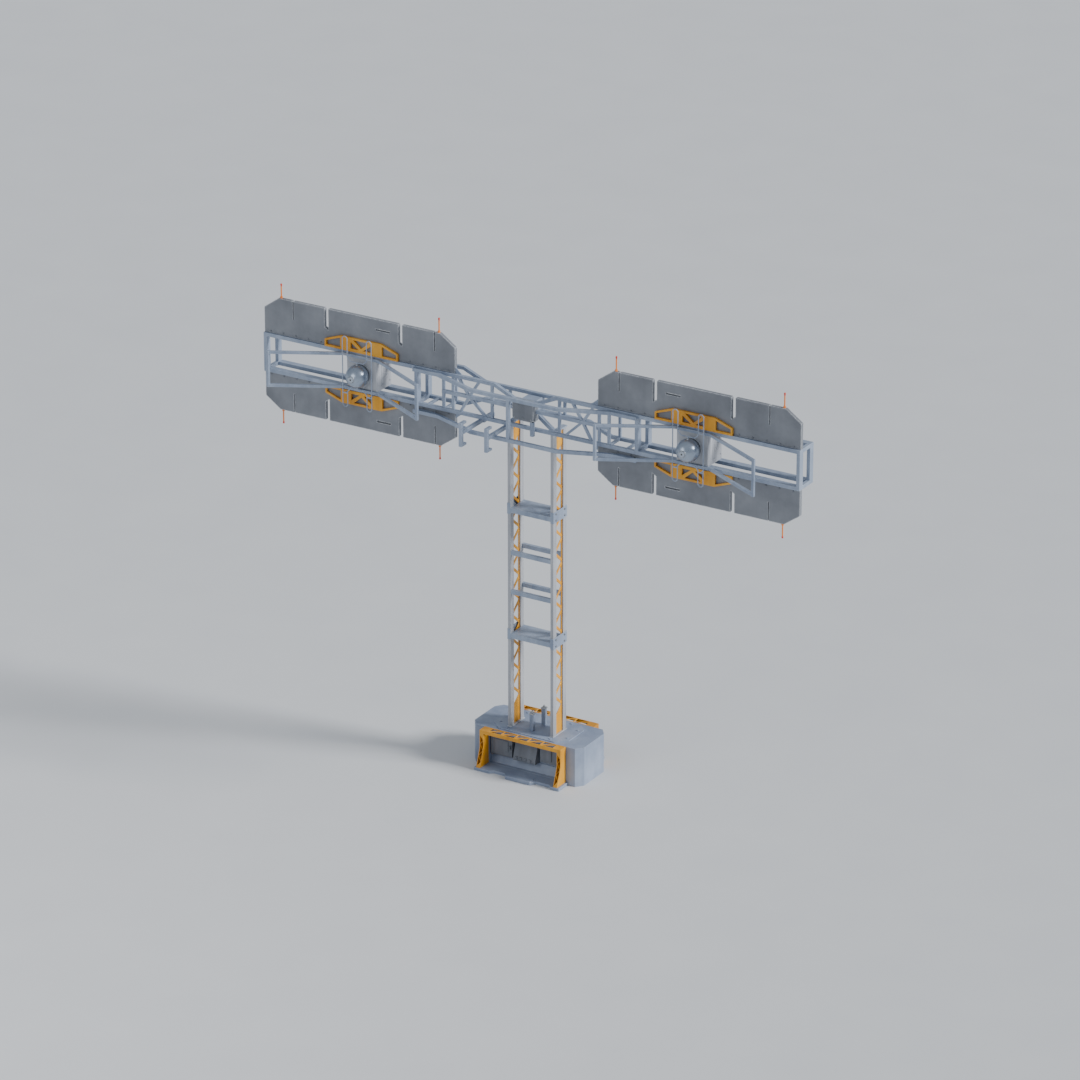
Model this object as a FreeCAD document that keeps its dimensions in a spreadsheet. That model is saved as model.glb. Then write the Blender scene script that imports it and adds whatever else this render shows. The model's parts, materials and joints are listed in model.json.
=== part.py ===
import FreeCAD, Part
import Sketcher
import os
import re

# Twin-column semaphore signal mast with a see-saw boom, two paddle arms and two lamps.
#
# Millimetres, +Z up, +X to the right, -Y towards the signal's face.  The origin is the
# centre of the base's underside.  All driving sizes are cells of the sheet "Sizes".

doc = FreeCAD.newDocument("semaphore_signal")
sheet = doc.addObject("Spreadsheet::Sheet", "Sizes")

SIZES = {
    # base block and its two equipment bays
    "base_length": 1232, "base_depth": 522, "base_height": 402,
    "base_cut_x": 59, "base_cut_y": 78,
    "bay_width": 820, "bay_recess": 90, "bay_sill": 30, "bay_lintel": 40,
    "skirt_rise": 84, "skirt_reach": 52, "skirt_lip": 10,
    "portal_width": 910, "portal_beam_depth": 98, "portal_beam_thick": 36,
    "portal_end": 90, "portal_rim": 10, "portal_bar": 20, "portal_knee": 221,
    "portal_skin": 8,
    "jamb_width": 45, "jamb_foot_depth": 165, "jamb_rim": 7, "jamb_bar": 16,
    "step_half": 477, "step_reach": 170, "step_end": 177, "step_dip": 30,
    "tread_left": -110, "tread_right": 170, "tread_reach": 26, "tread_slope": 34,
    "anchor_spacing_x": 1000, "anchor_spacing_y": 340, "anchor_radius": 11, "anchor_deep": 150,
    # equipment in the bays
    "cabinet_left": -395, "cabinet_width": 235, "cabinet_bottom": 120, "cabinet_headroom": 14,
    "cabinet_deep": 60, "cabinet_wall": 12, "cabinet_post": 28, "lug_tall": 14,
    "door_thick": 12, "door_gap": 1, "hinge_pin_radius": 5, "hinge_gap": 0.05,
    "knuckle_radius": 11, "door_rib_proud": 7, "door_rib_inset": 40, "grip_proud": 18,
    "grip_width": 12, "hood_left": -140, "hood_width": 250, "hood_proud": 25, "hood_slope": 30,
    "hood_lip": 5, "hood_ribs": 4, "hood_rib_margin": 22, "hood_rib_width": 26,
    "hood_rib_proud": 8, "hood_rib_root": 20, "hood_rib_low": 14, "hood_rib_high": 44,
    "junction_left": 140, "junction_width": 220, "junction_setback": 14, "junction_foot": 30,
    "junction_head": 10, "lid_margin": 14, "lid_free": 90, "lid_setback": 4, "lid_foot": 60,
    "lid_head": 30,
    # mast
    "plinth_length": 840, "plinth_depth": 480, "plinth_thick": 8, "plinth_cut_x": 110,
    "plinth_cut_y": 100, "bolt_radius": 9, "bolt_head": 15, "bolt_head_tall": 7,
    "bolt_edge": 40, "bolt_end": 65, "riser_front_left": -25, "riser_back_left": 5,
    "riser_width": 40, "riser_tall": 172, "riser_front": -140, "riser_back": 30,
    "column_offset": 237, "column_thick": 34, "column_front": -160, "column_back": 80,
    "post_depth": 58, "column_top": 3545, "lattice_pitch": 248, "lattice_solid": 160,
    "lattice_edge": 11, "lattice_bar": 72, "lattice_thick": 8,
    "shelf_upper": 2695, "shelf_lower": 1395, "shelf_thick": 50, "band_tall": 115,
    "band_drop": 10, "band_thick": 4, "rung_upper": 2230, "rung_lower": 1825,
    "rung_tall": 44, "rung_deep": 34,
    # pivot
    "pivot_rise": 227, "shaft_radius": 40, "shaft_gap": 0.05, "bush_wall": 10,
    "bearing_front": -195, "bearing_back": -70, "bearing_half": 78, "head_plate": 12,
    "head_margin": 10, "yoke_bar": 38, "yoke_root": 40,
    # boom
    "tube": 35, "front_face": -260, "back_face": -47, "rail_offset": 200,
    "web": 28, "web_inset": 5, "brace_bar": 25, "tie_bar": 26,
    "knot_share": 0.59, "upper_leg_near": 0.3, "upper_leg_far": 0.9, "lower_leg_near": 0.1,
    "lower_leg_far": 0.85, "dip_offset": 100, "dip_start": 345, "dip_end": 126, "arm_start": 1190,
    "pinch_start": 810, "pinch_end": 570, "pinch_offset": 100,
    "inner_post": 24, "middle_post": 390, "outer_post": 270, "inner_tie": 290, "outer_tie": 100,
    "back_post": 300, "flange_half": 70, "flange_proud": 12,
    "hub_half": 115, "hub_bottom": -100, "hub_cover_top": 108, "hub_cover_thick": 40,
    "hub_cover_cut": 22, "hub_gap": 10, "finger_left": 78, "finger_width": 35,
    "finger_tall": 140, "finger_gap": 4, "bow_front": -460, "bow_flat": 470, "bow_bend": 240, "bow_lap": 35,
    "bow_pad": 90, "strut_left": -78, "strut_width": 34,
    "rest_left": -493, "rest_right": -212, "rest_front": -620, "rest_tall": 240,
    "rest_flange": 90, "rest_flange_thick": 22, "rest_sleeve": 6,
    "rest_back": -30, "rest_clear": 13,
    # arms
    "arm_length": 1745, "rail_tall": 38, "rail_deep": 65, "rail_back": 0, "arm_post": 36,
    "panel_overhang": 409, "panel_tall": 371, "panel_thick": 40,
    "panel_front": -240, "panel_cut_x": 166, "panel_cut_z": 116,
    "panel_slot_deep": 190, "slot_foot": 26, "narrow_slot": 8, "wide_slot": 40,
    "narrow_inner": 228, "narrow_outer": 330, "wide_inner": 610, "wide_outer": 710,
    "slit_inner": 727, "slit_length": 157, "slit_depth": 96, "slit_tall": 16,
    "slot_past": 10, "panel_end_gap": 2,
    "aerial_inset": 187, "aerial_rise": 147, "aerial_radius": 7, "aerial_tip_radius": 10,
    "aerial_foot": 13, "aerial_foot_tall": 16,
    "truss_shift": 7, "truss_half": 412, "truss_flat": 227, "truss_tall": 142,
    "truss_end": 75, "truss_thick": 26, "truss_chord": 20, "truss_post": 92,
    "truss_inset": 2, "knee_gap": 18, "foot_gap": 10, "king_half": 22, "shoulder": 24,
    "crown_gap": 46, "crown_foot": 26, "wing_gap": 8, "wing_drop": 12, "wing_shoulder": 4,
    # lamps
    "lamp_along": 621, "lamp_front": -350, "lamp_radius": 112, "lamp_wall": 6,
    "lamp_clear": 6, "socket_radius": 98, "socket_reach": 34, "housing_half": 165,
    "housing_front": -268, "housing_back": -4, "eye_radius": 26, "eye_proud": 7,
    "eye_deep": 18, "eye_hole_past": 10, "eye_hole_deep": 40, "face_clear": 3,
    "pan_pin_radius": 6, "pan_gap": 0.05, "pin_grip": 14,
    "guard_rod": 5, "guard_half": 163, "guard_leg": 54, "guard_reach": 357, "guard_lift": 24,
    "guard_waist": 138, "guard_chamfer": 36, "guard_round": 18, "stay_inset": 7,
    "bridge_half": 4, "bridge_rise": 5,
    "splay_tube": 28, "splay_flat": 195, "splay_half": 838, "splay_front": -618,
    "splay_inset": 17, "bow_gap": 14,
}

# Places that follow from the sizes above, so that pieces stay together when one changes.
WORKED_OUT = {
    "bay_top": "base_height - bay_lintel",
    "cabinet_top": "base_height - bay_lintel - cabinet_headroom",
    "pivot_height": "column_top + pivot_rise",
    "arm_end": "arm_start + arm_length",
    "panel_inner": "arm_start - panel_overhang",
    "panel_outer": "arm_start + arm_length - panel_end_gap",
    "lamp_offset": "arm_start + lamp_along",
    "truss_centre": "arm_start + lamp_along + truss_shift",
    "splay_offset": "rail_offset - splay_tube / 2 - splay_inset",
    "bow_upper": "rail_offset - tube / 2 - bow_gap",
    "bow_lower": "-(rail_offset + tube * 3 / 2)",
    "spine_end": "arm_start - outer_post",
    "head_deck": "column_top + head_plate",
}
for row, (alias, value) in enumerate(SIZES.items(), start=1):
    sheet.set(f"A{row}", alias)
    sheet.set(f"B{row}", str(value))
    sheet.setAlias(f"B{row}", alias)
doc.recompute()


def size(alias):
    """The sheet's value of one size."""
    return float(getattr(sheet, alias))


def formula(text):
    """Turn plain size names into references to the sheet."""
    def swap(match):
        word = match.group(0)
        if word in WORKED_OUT:
            return "(" + formula(WORKED_OUT[word]) + ")"
        return "Sizes." + word if word in SIZES else word

    return re.sub(r"\b[a-z]+(?:_[a-z]+)*\b", swap, str(text))


def value(text):
    """Work one formula out as a number, from the sheet's present values."""
    cell = "A%d" % (len(SIZES) + 5)
    sheet.set(cell, "=" + formula(text).replace("Sizes.", ""))
    sheet.recompute()
    return float(sheet.get(cell))


def bind(obj, **formulas):
    """Tie properties to formulas; two underscores in a name stand for a dot."""
    for name, text in formulas.items():
        obj.setExpression(name.replace("__", "."), formula(text))
    return obj


def box(name, x, y, z):
    """A box between two formulas on each axis."""
    obj = doc.addObject("Part::Box", name)
    return bind(obj, Length=f"({x[1]}) - ({x[0]})", Width=f"({y[1]}) - ({y[0]})",
                Height=f"({z[1]}) - ({z[0]})", Placement__Base__x=x[0],
                Placement__Base__y=y[0], Placement__Base__z=z[0])


TURNS = {"X": FreeCAD.Rotation(FreeCAD.Vector(0, 1, 0), 90),
         "Y": FreeCAD.Rotation(FreeCAD.Vector(1, 0, 0), -90),
         "Z": FreeCAD.Rotation()}


def rod(name, axis, start, length, radius):
    """A round bar along one axis, from the point start."""
    obj = doc.addObject("Part::Cylinder", name)
    obj.Placement = FreeCAD.Placement(FreeCAD.Vector(), TURNS[axis])
    return bind(obj, Radius=radius, Height=length, Placement__Base__x=start[0],
                Placement__Base__y=start[1], Placement__Base__z=start[2])


def ball(name, centre, radius):
    """A full sphere about a point."""
    obj = doc.addObject("Part::Sphere", name)
    return bind(obj, Radius=radius, Placement__Base__x=centre[0],
                Placement__Base__y=centre[1], Placement__Base__z=centre[2])


def brace(name, first, last, y, width):
    """A straight bar in an upright plane, square across, between two (x, z) points."""
    run = f"(({last[0]}) - ({first[0]}))"
    rise = f"(({last[1]}) - ({first[1]}))"
    obj = doc.addObject("Part::Box", name)
    obj.Placement = FreeCAD.Placement(FreeCAD.Vector(), FreeCAD.Rotation(FreeCAD.Vector(0, -1, 0), 30))
    angle = f"atan2({rise}; {run})"
    return bind(obj, Length=f"sqrt({run} * {run} + {rise} * {rise})",
                Width=f"({y[1]}) - ({y[0]})", Height=width, Placement__Rotation__Angle=angle,
                Placement__Base__x=f"({first[0]}) + sin({angle}) * ({width}) / 2",
                Placement__Base__y=y[0],
                Placement__Base__z=f"({first[1]}) - cos({angle}) * ({width}) / 2")


def fuse(name, pieces):
    """One welded piece."""
    obj = doc.addObject("Part::MultiFuse", name)
    obj.Shapes = pieces
    obj.Refine = True
    return obj


def group(name, pieces):
    """Several like pieces kept as separate solids of one node."""
    obj = doc.addObject("Part::Compound", name)
    obj.Links = pieces
    return obj


def cut(name, base, tool):
    obj = doc.addObject("Part::Cut", name)
    obj.Base = base
    obj.Tool = tool
    return obj


def origin_plane(body, role):
    """One of a body's own origin planes or axes."""
    return next(item for item in body.Origin.OriginFeatures if item.Role == role)


def sketch_loops(body, name, plane, loops):
    """A sketch on an origin plane, its corners tied to formulas for their two distances."""
    sketch = body.newObject("Sketcher::SketchObject", name)
    sketch.AttachmentSupport = (origin_plane(body, plane), [""])
    sketch.MapMode = "FlatFace"
    for loop in loops:
        corners = [FreeCAD.Vector(value(u), value(v), 0) for u, v in loop]
        edges = []
        for index, corner in enumerate(corners):
            following = corners[(index + 1) % len(corners)]
            edges.append(sketch.addGeometry(Part.LineSegment(corner, following), False))
        for index, edge in enumerate(edges):
            following = edges[(index + 1) % len(edges)]
            sketch.addConstraint(Sketcher.Constraint("Coincident", edge, 2, following, 1))
        for edge, corner, (u, v) in zip(edges, corners, loop):
            for kind, number, text in (("DistanceX", corner.x, u), ("DistanceY", corner.y, v)):
                mark = sketch.addConstraint(Sketcher.Constraint(kind, -1, 1, edge, 1, number))
                sketch.setExpression(f"Constraints[{mark}]", formula(text))
    return sketch


def plate(name, plane, loops, thick, offset="0"):
    """A flat plate padded from an outline; offset moves it along its plane's normal."""
    body = doc.addObject("PartDesign::Body", name)
    sketch = sketch_loops(body, name + "_outline", plane, loops)
    bind(sketch, AttachmentOffset__Base__z=offset)
    pad = body.newObject("PartDesign::Pad", name + "_pad")
    pad.Profile = sketch
    bind(pad, Length=thick)
    body.Tip = pad
    doc.recompute()
    return body


def open_up(body, name, plane, loops):
    """Pocket loops right through a body, both ways, and check that material was removed."""
    before = body.Shape.Volume
    sketch = sketch_loops(body, name + "_outline", plane, loops)
    pocket = body.newObject("PartDesign::Pocket", name)
    pocket.Profile = sketch
    pocket.Type = "ThroughAll"
    pocket.Midplane = True
    body.Tip = pocket
    doc.recompute()
    if body.Shape.Volume > before - 1:
        raise RuntimeError(name + " removed nothing")
    return pocket


def repeat(body, feature, name, axis, step, count):
    """Repeat a feature along one of the body's axes."""
    pattern = body.newObject("PartDesign::LinearPattern", name)
    pattern.Originals = [feature]
    pattern.Direction = (origin_plane(body, axis), [""])
    bind(pattern, Length=f"({step}) * (({count}) - 1)", Occurrences=count)
    body.Tip = pattern
    doc.recompute()
    return body


def mitred_bar(name, points, width, low, high):
    """A bar bent in a level plane, mitred at its bends, from its (x, y) middle line."""
    middle = [FreeCAD.Vector(value(x), value(y), value(low)) for x, y in points]
    half = value(width) / 2
    sides = []
    for index, point in enumerate(middle):
        arriving = (point - middle[index - 1]).normalize() if index else None
        leaving = (middle[index + 1] - point).normalize() if index < len(middle) - 1 else arriving
        arriving = arriving or leaving
        mean = (arriving + leaving).normalize()
        across = FreeCAD.Vector(-mean.y, mean.x, 0) * (half / mean.dot(leaving))
        sides.append((point + across, point - across))
    ring = [side[0] for side in sides] + [side[1] for side in reversed(sides)]
    face = Part.Face(Part.makePolygon(ring + ring[:1]))
    obj = doc.addObject("Part::Feature", name)
    obj.Shape = face.extrude(FreeCAD.Vector(0, 0, value(high) - value(low)))
    return obj


def turned(name, source, angle=180):
    """A copy of a piece turned about the mast's axis."""
    obj = doc.addObject("Part::Feature", name)
    obj.Shape = source.Shape.copy()
    obj.Placement = FreeCAD.Placement(
        FreeCAD.Vector(), FreeCAD.Rotation(FreeCAD.Vector(0, 0, 1), angle)) * obj.Placement
    return obj


def mirrored(name, source, normal):
    """A mirror copy of a piece through the boom's axis or the mast's middle plane."""
    obj = doc.addObject("Part::Mirroring", name)
    obj.Source = source
    obj.Normal = normal
    bind(obj, Base__z="pivot_height")
    return obj


nodes = []


def node(name, obj):
    """Name a finished sub-part."""
    obj.Label = name
    nodes.append(obj)
    return obj


LEFT_RIGHT = (("left", -1), ("right", 1))
LEVEL = FreeCAD.Vector(0, 0, 1)


def zigzag(body, name, plane, span, start, pitch, bar, counts):
    """Two rows of triangular holes that leave a zigzag bar between the two edges of a strip."""
    near, far = span
    rising = [(near, f"{start} + ({bar}) / 2"), (far, f"{start} + ({pitch}) / 2"),
              (near, f"{start} + ({pitch}) - ({bar}) / 2")]
    falling = [(far, f"{start} + ({pitch}) / 2 + ({bar}) / 2"), (near, f"{start} + ({pitch})"),
               (far, f"{start} + ({pitch}) * 3 / 2 - ({bar}) / 2")]
    for row, loop, count in (("rising", rising, counts[0]), ("falling", falling, counts[1])):
        holes = open_up(body, f"{name}_{row}", plane, [loop])
        if count > 1:
            repeat(body, holes, f"{name}_{row}_row", "Z_Axis", pitch, str(count))
    return body


# ---------------------------------------------------------------- base

def eight_sided(length, depth, cut_x, cut_y):
    """Corners of a rectangle about the origin with its four corners cut off."""
    half_x, half_y = f"({length}) / 2", f"({depth}) / 2"
    near_x, near_y = f"{half_x} - ({cut_x})", f"{half_y} - ({cut_y})"
    return [(near_x, half_y), (f"-({near_x})", half_y), (f"-({half_x})", near_y),
            (f"-({half_x})", f"-({near_y})"), (f"-({near_x})", f"-({half_y})"),
            (near_x, f"-({half_y})"), (half_x, f"-({near_y})"), (half_x, near_y)]


def rectangle(low_u, high_u, low_v, high_v):
    return [(low_u, low_v), (high_u, low_v), (high_u, high_v), (low_u, high_v)]


def base_block():
    """Eight-sided block with a recessed bay in its front and back and four anchor holes."""
    block = plate("base_block_body", "XY_Plane",
                  [eight_sided("base_length", "base_depth", "base_cut_x", "base_cut_y")],
                  "base_height")
    tools = []
    recess = "(base_depth / 2 - bay_recess)"
    for face, side in (("front", -1), ("back", 1)):
        outline = [(f"{side} * {recess}", "bay_top"),
                   (f"{side} * {recess}", "bay_sill + skirt_rise"),
                   (f"{side} * ({recess} + skirt_lip)", "bay_sill + skirt_rise"),
                   (f"{side} * ({recess} + skirt_reach)", "bay_sill"),
                   (f"{side} * (base_depth / 2 + 1)", "bay_sill"),
                   (f"{side} * (base_depth / 2 + 1)", "bay_top")]
        tools.append(plate(f"{face}_bay", "YZ_Plane", [outline], "bay_width", "-bay_width / 2"))
    for number, (side_x, side_y) in enumerate(((-1, -1), (1, -1), (-1, 1), (1, 1))):
        tools.append(rod(f"anchor_hole_{number}", "Z",
                         (f"{side_x} * anchor_spacing_x / 2", f"{side_y} * anchor_spacing_y / 2",
                          "-1"), "anchor_deep + 1", "anchor_radius"))
    node("base_block", cut("base_block_cut", block, fuse("base_openings", tools)))


def step_plate():
    """Floor plate in front of a bay: two end pads, a raised tread and shallow dips between."""
    wall = "-base_depth / 2"
    front = f"({wall} - step_reach)"
    dip = f"({front} + step_dip)"
    left, right = "-step_half", "step_half"
    tread = f"({front} - tread_reach)"
    outline = [(left, wall), (left, front), (f"{left} + step_end", front),
               (f"{left} + step_end + tread_slope", dip), (f"tread_left - tread_slope", dip),
               ("tread_left", tread), ("tread_right", tread), ("tread_right + tread_slope", dip),
               (f"{right} - step_end / 2 - tread_slope", dip), (f"{right} - step_end / 2", front),
               (right, front), (right, wall)]
    plain = plate("step_plate_body", "XY_Plane", [outline], "bay_sill")
    raised = box("step_tread", ("tread_left", "tread_right"),
                 (tread, f"{tread} + step_reach / 2"), ("0", "bay_sill + 6"))
    front_plate = node("front_step_plate", fuse("step_plate_weld", [plain, raised]))
    doc.recompute()
    node("back_step_plate", turned("back_step_copy", front_plate))


def portal():
    """Lattice portal round a bay: a folded channel on top and two jambs that widen downwards."""
    face = "base_depth / 2"
    beam_front = f"-({face}) - portal_beam_depth"
    beam = plate("portal_beam_body", "XY_Plane",
                 [rectangle("-portal_width / 2", "portal_width / 2", beam_front, f"-({face})")],
                 "portal_beam_thick", "base_height - portal_beam_thick")
    bay = "(portal_width - 2 * portal_end) / 5"
    left = "-portal_width / 2 + portal_end"
    near, far = f"{beam_front} + portal_rim", f"-({face}) - portal_rim"
    leading = [(f"{left} + portal_bar", near), (f"{left} + {bay}", near), (f"{left} + {bay}", far)]
    trailing = [(left, f"{near} + portal_bar"), (f"{left} + {bay} - portal_bar", far),
                (left, far)]
    holes = open_up(beam, "portal_beam_holes", "XY_Plane",
                    [[(f"{x} - portal_rim / 2", y) for x, y in leading],
                     [(f"{x} + portal_rim / 2", y) for x, y in trailing]])
    repeat(beam, holes, "portal_beam_bays", "X_Axis", bay, "5")
    under = box("portal_beam_under", ("-portal_width / 2 + jamb_width",
                                      "portal_width / 2 - jamb_width"),
                (f"{beam_front} + portal_skin", f"-({face}) + portal_skin"),
                ("base_height - portal_beam_thick - portal_skin", "base_height - portal_skin"))
    channel = cut("portal_channel", beam, under)
    top, sill = "base_height - portal_beam_thick", "bay_sill"
    outline = [(f"-({face})", top), (beam_front, top), (beam_front, "portal_knee"),
               (f"-({face}) - jamb_foot_depth", sill), (f"-({face})", sill)]
    jambs = []
    for name, side in LEFT_RIGHT:
        inner = "portal_width / 2 - jamb_width" if side > 0 else "-portal_width / 2"
        jamb = plate(f"portal_{name}_jamb", "YZ_Plane", [outline], "jamb_width", inner)
        pitch = f"(({top}) - {sill} - 3 * jamb_rim) / 3"
        zigzag(jamb, f"portal_{name}_holes", "XZ_Plane",
               (f"{inner} + jamb_rim", f"{inner} + jamb_width - jamb_rim"),
               f"{sill} + jamb_rim", pitch, "jamb_bar", (3, 2))
        jambs.append(jamb)
    front = node("front_portal", fuse("portal_weld", [channel] + jambs))
    doc.recompute()
    node("back_portal", turned("back_portal_copy", front))


def bay_equipment():
    """In each bay a cabinet with a hinged door; the front bay also has a vent hood and a box."""
    back = "-base_depth / 2 + bay_recess"
    front = f"{back} - cabinet_deep"
    pin_x = "cabinet_left + knuckle_radius"
    pin_y = f"{front} - door_gap - knuckle_radius"
    right = "cabinet_left + cabinet_width"
    shell = box("cabinet_shell", ("cabinet_left", right), (front, back),
                ("cabinet_bottom", "cabinet_top"))
    hollow = box("cabinet_hollow", ("cabinet_left + cabinet_post", f"{right} - cabinet_wall"),
                 (f"{front} - 1", f"{back} - cabinet_wall"),
                 ("cabinet_bottom + cabinet_wall", "cabinet_top - cabinet_wall"))
    lugs = []
    for name, low in (("low", "cabinet_bottom"), ("high", "cabinet_top - lug_tall")):
        lugs.append(box(f"hinge_lug_{name}", ("cabinet_left", "cabinet_left + 2 * knuckle_radius"),
                        (f"{pin_y} - knuckle_radius", front), (low, f"{low} + lug_tall")))
    body = fuse("cabinet_weld", [cut("cabinet_open", shell, hollow)] + lugs)
    bore = rod("hinge_pin_seat", "Z", (pin_x, pin_y, "cabinet_bottom - 1"),
               "cabinet_top - cabinet_bottom + 2", "hinge_pin_radius")
    front_cabinet = node("front_cabinet", cut("cabinet_bored", body, bore))
    pin = rod("hinge_pin", "Z", (pin_x, pin_y, "cabinet_bottom"), "cabinet_top - cabinet_bottom",
              "hinge_pin_radius")
    low, high = "cabinet_bottom + lug_tall + door_gap", "cabinet_top - lug_tall - door_gap"
    knuckle = rod("door_knuckle", "Z", (pin_x, pin_y, low), f"{high} - ({low})", "knuckle_radius")
    leaf_back = f"{front} - door_gap"
    leaf_front = f"{leaf_back} - door_thick"
    leaf = box("door_leaf", (pin_x, right), (leaf_front, leaf_back), (low, high))
    rib = box("door_rib", (f"{pin_x} + door_rib_inset", f"{right} - door_rib_inset"),
              (f"{leaf_front} - door_rib_proud", leaf_front),
              (f"{low} + door_rib_inset", f"{high} - door_rib_inset"))
    grip = box("door_grip", (f"{right} - 2 * grip_width", f"{right} - grip_width"),
               (f"{leaf_front} - grip_proud", leaf_front),
               (f"{low} + 2 * door_rib_inset", f"{high} - 2 * door_rib_inset"))
    door_bore = rod("door_bore", "Z", (pin_x, pin_y, "cabinet_bottom"),
                    "cabinet_top - cabinet_bottom", "hinge_pin_radius + hinge_gap")
    door = node("front_cabinet_door",
                cut("door_bored", fuse("door_weld", [knuckle, leaf, rib, grip]), door_bore))
    hood_foot = f"{front} - hood_proud"
    hood = plate("hood_body", "YZ_Plane",
                 [[(back, "bay_top - hood_slope"), (f"{back} - hood_slope", "bay_top - hood_slope"),
                   (hood_foot, "cabinet_bottom + hood_slope"), (hood_foot, "cabinet_bottom"),
                   (back, "cabinet_bottom - hood_lip")]], "hood_width", "hood_left")
    ribs = []
    for number in range(int(size("hood_ribs"))):
        low = f"hood_left + hood_rib_margin + {number} * (hood_width - 2 * hood_rib_margin)" \
            " / hood_ribs"
        ribs.append(box(f"hood_rib_{number}", (low, f"{low} + hood_rib_width"),
                        (f"{hood_foot} - hood_rib_proud", f"{back} - hood_rib_root"),
                        ("cabinet_bottom + hood_rib_low", "cabinet_bottom + hood_rib_high")))
    node("front_vent_hood", fuse("hood_weld", [hood] + ribs))
    junction_right = "junction_left + junction_width"
    case = box("junction_case", ("junction_left", junction_right),
               (f"{front} + junction_setback", back),
               ("cabinet_bottom + junction_foot", "cabinet_top - junction_head"))
    lid = box("junction_lid", ("junction_left + lid_margin", f"{junction_right} - lid_free"),
              (f"{front} + lid_setback", f"{front} + junction_setback"),
              ("cabinet_bottom + lid_foot", "cabinet_top - lid_head"))
    node("front_junction_box", fuse("junction_weld", [case, lid]))
    doc.recompute()
    back_pin = turned("back_pin_copy", pin)
    node("back_cabinet", turned("back_cabinet_copy", front_cabinet))
    node("back_cabinet_door", turned("back_door_copy", door))
    node("door_hinge_pins", group("hinge_pin_pair", [pin, back_pin]))


# ---------------------------------------------------------------- mast

def mast_foot():
    """Plinth plate bolted to the base, its bolts and two cable risers between the columns."""
    low, high = "base_height", "base_height + plinth_thick"
    plinth = plate("plinth_body", "XY_Plane",
                   [eight_sided("plinth_length", "plinth_depth", "plinth_cut_x", "plinth_cut_y")],
                   "plinth_thick", "base_height")
    end_x = "plinth_length / 2 - 5 * bolt_radius"
    end_y = "plinth_depth / 2 - plinth_cut_y - bolt_edge"
    side_x, side_y = "plinth_length / 2 - plinth_cut_x - bolt_end", "plinth_depth / 2 - bolt_edge"
    holes, bolts = [], []
    for number, (mark_x, mark_y) in enumerate(((-1, -1), (1, -1), (-1, 1), (1, 1))):
        for ring, (x, y) in enumerate(((end_x, end_y), (side_x, side_y))):
            spot = (f"{mark_x} * ({x})", f"{mark_y} * ({y})")
            tag = f"{number}_{ring}"
            holes.append(rod(f"plinth_hole_{tag}", "Z", spot + (f"{low} - 1",),
                             "plinth_thick + 2", "bolt_radius"))
            shank = rod(f"plinth_shank_{tag}", "Z", spot + (low,), "plinth_thick", "bolt_radius")
            head = doc.addObject("Part::Prism", f"plinth_head_{tag}")
            head.Polygon = 6
            bind(head, Circumradius="bolt_head", Height="bolt_head_tall",
                 Placement__Base__x=spot[0], Placement__Base__y=spot[1], Placement__Base__z=high)
            bolts.append(fuse(f"plinth_bolt_{tag}", [shank, head]))
    node("mast_plinth", cut("plinth_drilled", plinth, fuse("plinth_holes", holes)))
    node("plinth_bolts", group("plinth_bolt_set", bolts))
    risers = [box(f"{name}_riser", (left, f"{left} + riser_width"), (near, f"{near} + riser_width"),
                  (high, f"{high} + riser_tall"))
              for name, left, near in (("front", "riser_front_left", "riser_front"),
                                      ("back", "riser_back_left", "riser_back"))]
    node("cable_risers", group("riser_pair", risers))


def column(name, side):
    """One column: front and back posts with a thin lattice let in between them."""
    low, high = (f"{side} * column_offset - column_thick / 2",
                 f"{side} * column_offset + column_thick / 2")
    foot, top = "base_height + plinth_thick", "column_top"
    posts = []
    for place, (near, far) in (("front", ("column_front", "column_front + post_depth")),
                               ("back", ("column_back - post_depth", "column_back"))):
        posts.append(box(f"{name}_{place}_post", (low, high), (near, far), (foot, top)))
    node(f"{name}_column_posts", group(f"{name}_post_pair", posts))
    inner, outer = "column_front + post_depth", "column_back - post_depth"
    middle = f"{side} * column_offset - lattice_thick / 2"
    lattice = plate(f"{name}_lattice_body", "YZ_Plane", [rectangle(inner, outer, foot, top)],
                    "lattice_thick", middle)
    room = value(f"column_top - lattice_solid / 2 - ({foot}) - lattice_solid")
    count = int(room / size("lattice_pitch") - 0.5)
    zigzag(lattice, f"{name}_lattice_holes", "YZ_Plane",
           (f"{inner} + lattice_edge", f"{outer} - lattice_edge"), f"{foot} + lattice_solid",
           "lattice_pitch", "lattice_bar", (count, count))
    node(f"{name}_column_lattice", lattice)


def shelf(name, level):
    """A deep shelf between the columns with a clamp band round the outside of each column."""
    inner = "column_offset - column_thick / 2"
    outer = "column_offset + column_thick / 2"
    pieces = [box(f"{name}_deck", (f"-({inner})", inner), ("column_front", "column_back"),
                  (f"{level} - shelf_thick", level))]
    low, high = f"{level} - band_tall / 2 - band_drop", f"{level} + band_tall / 2 - band_drop"
    for side, sign in LEFT_RIGHT:
        span = (outer, f"{outer} + band_thick") if sign > 0 else \
            (f"-({outer}) - band_thick", f"-({outer})")
        pieces.append(box(f"{name}_{side}_band", span,
                          ("column_front - band_thick", "column_back + band_thick"), (low, high)))
        cheek = (inner, f"{outer} + band_thick") if sign > 0 else \
            (f"-({outer}) - band_thick", f"-({inner})")
        pieces.append(box(f"{name}_{side}_front", cheek,
                          ("column_front - band_thick", "column_front"), (low, high)))
        pieces.append(box(f"{name}_{side}_back", cheek,
                          ("column_back", "column_back + band_thick"), (low, high)))
    front = box(f"{name}_front_lip", (f"-({inner})", inner),
                ("column_front - band_thick", "column_front"), (f"{level} - shelf_thick", level))
    back = box(f"{name}_back_lip", (f"-({inner})", inner),
               ("column_back", "column_back + band_thick"), (f"{level} - shelf_thick", level))
    node(name, fuse(f"{name}_weld", pieces + [front, back]))


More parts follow.
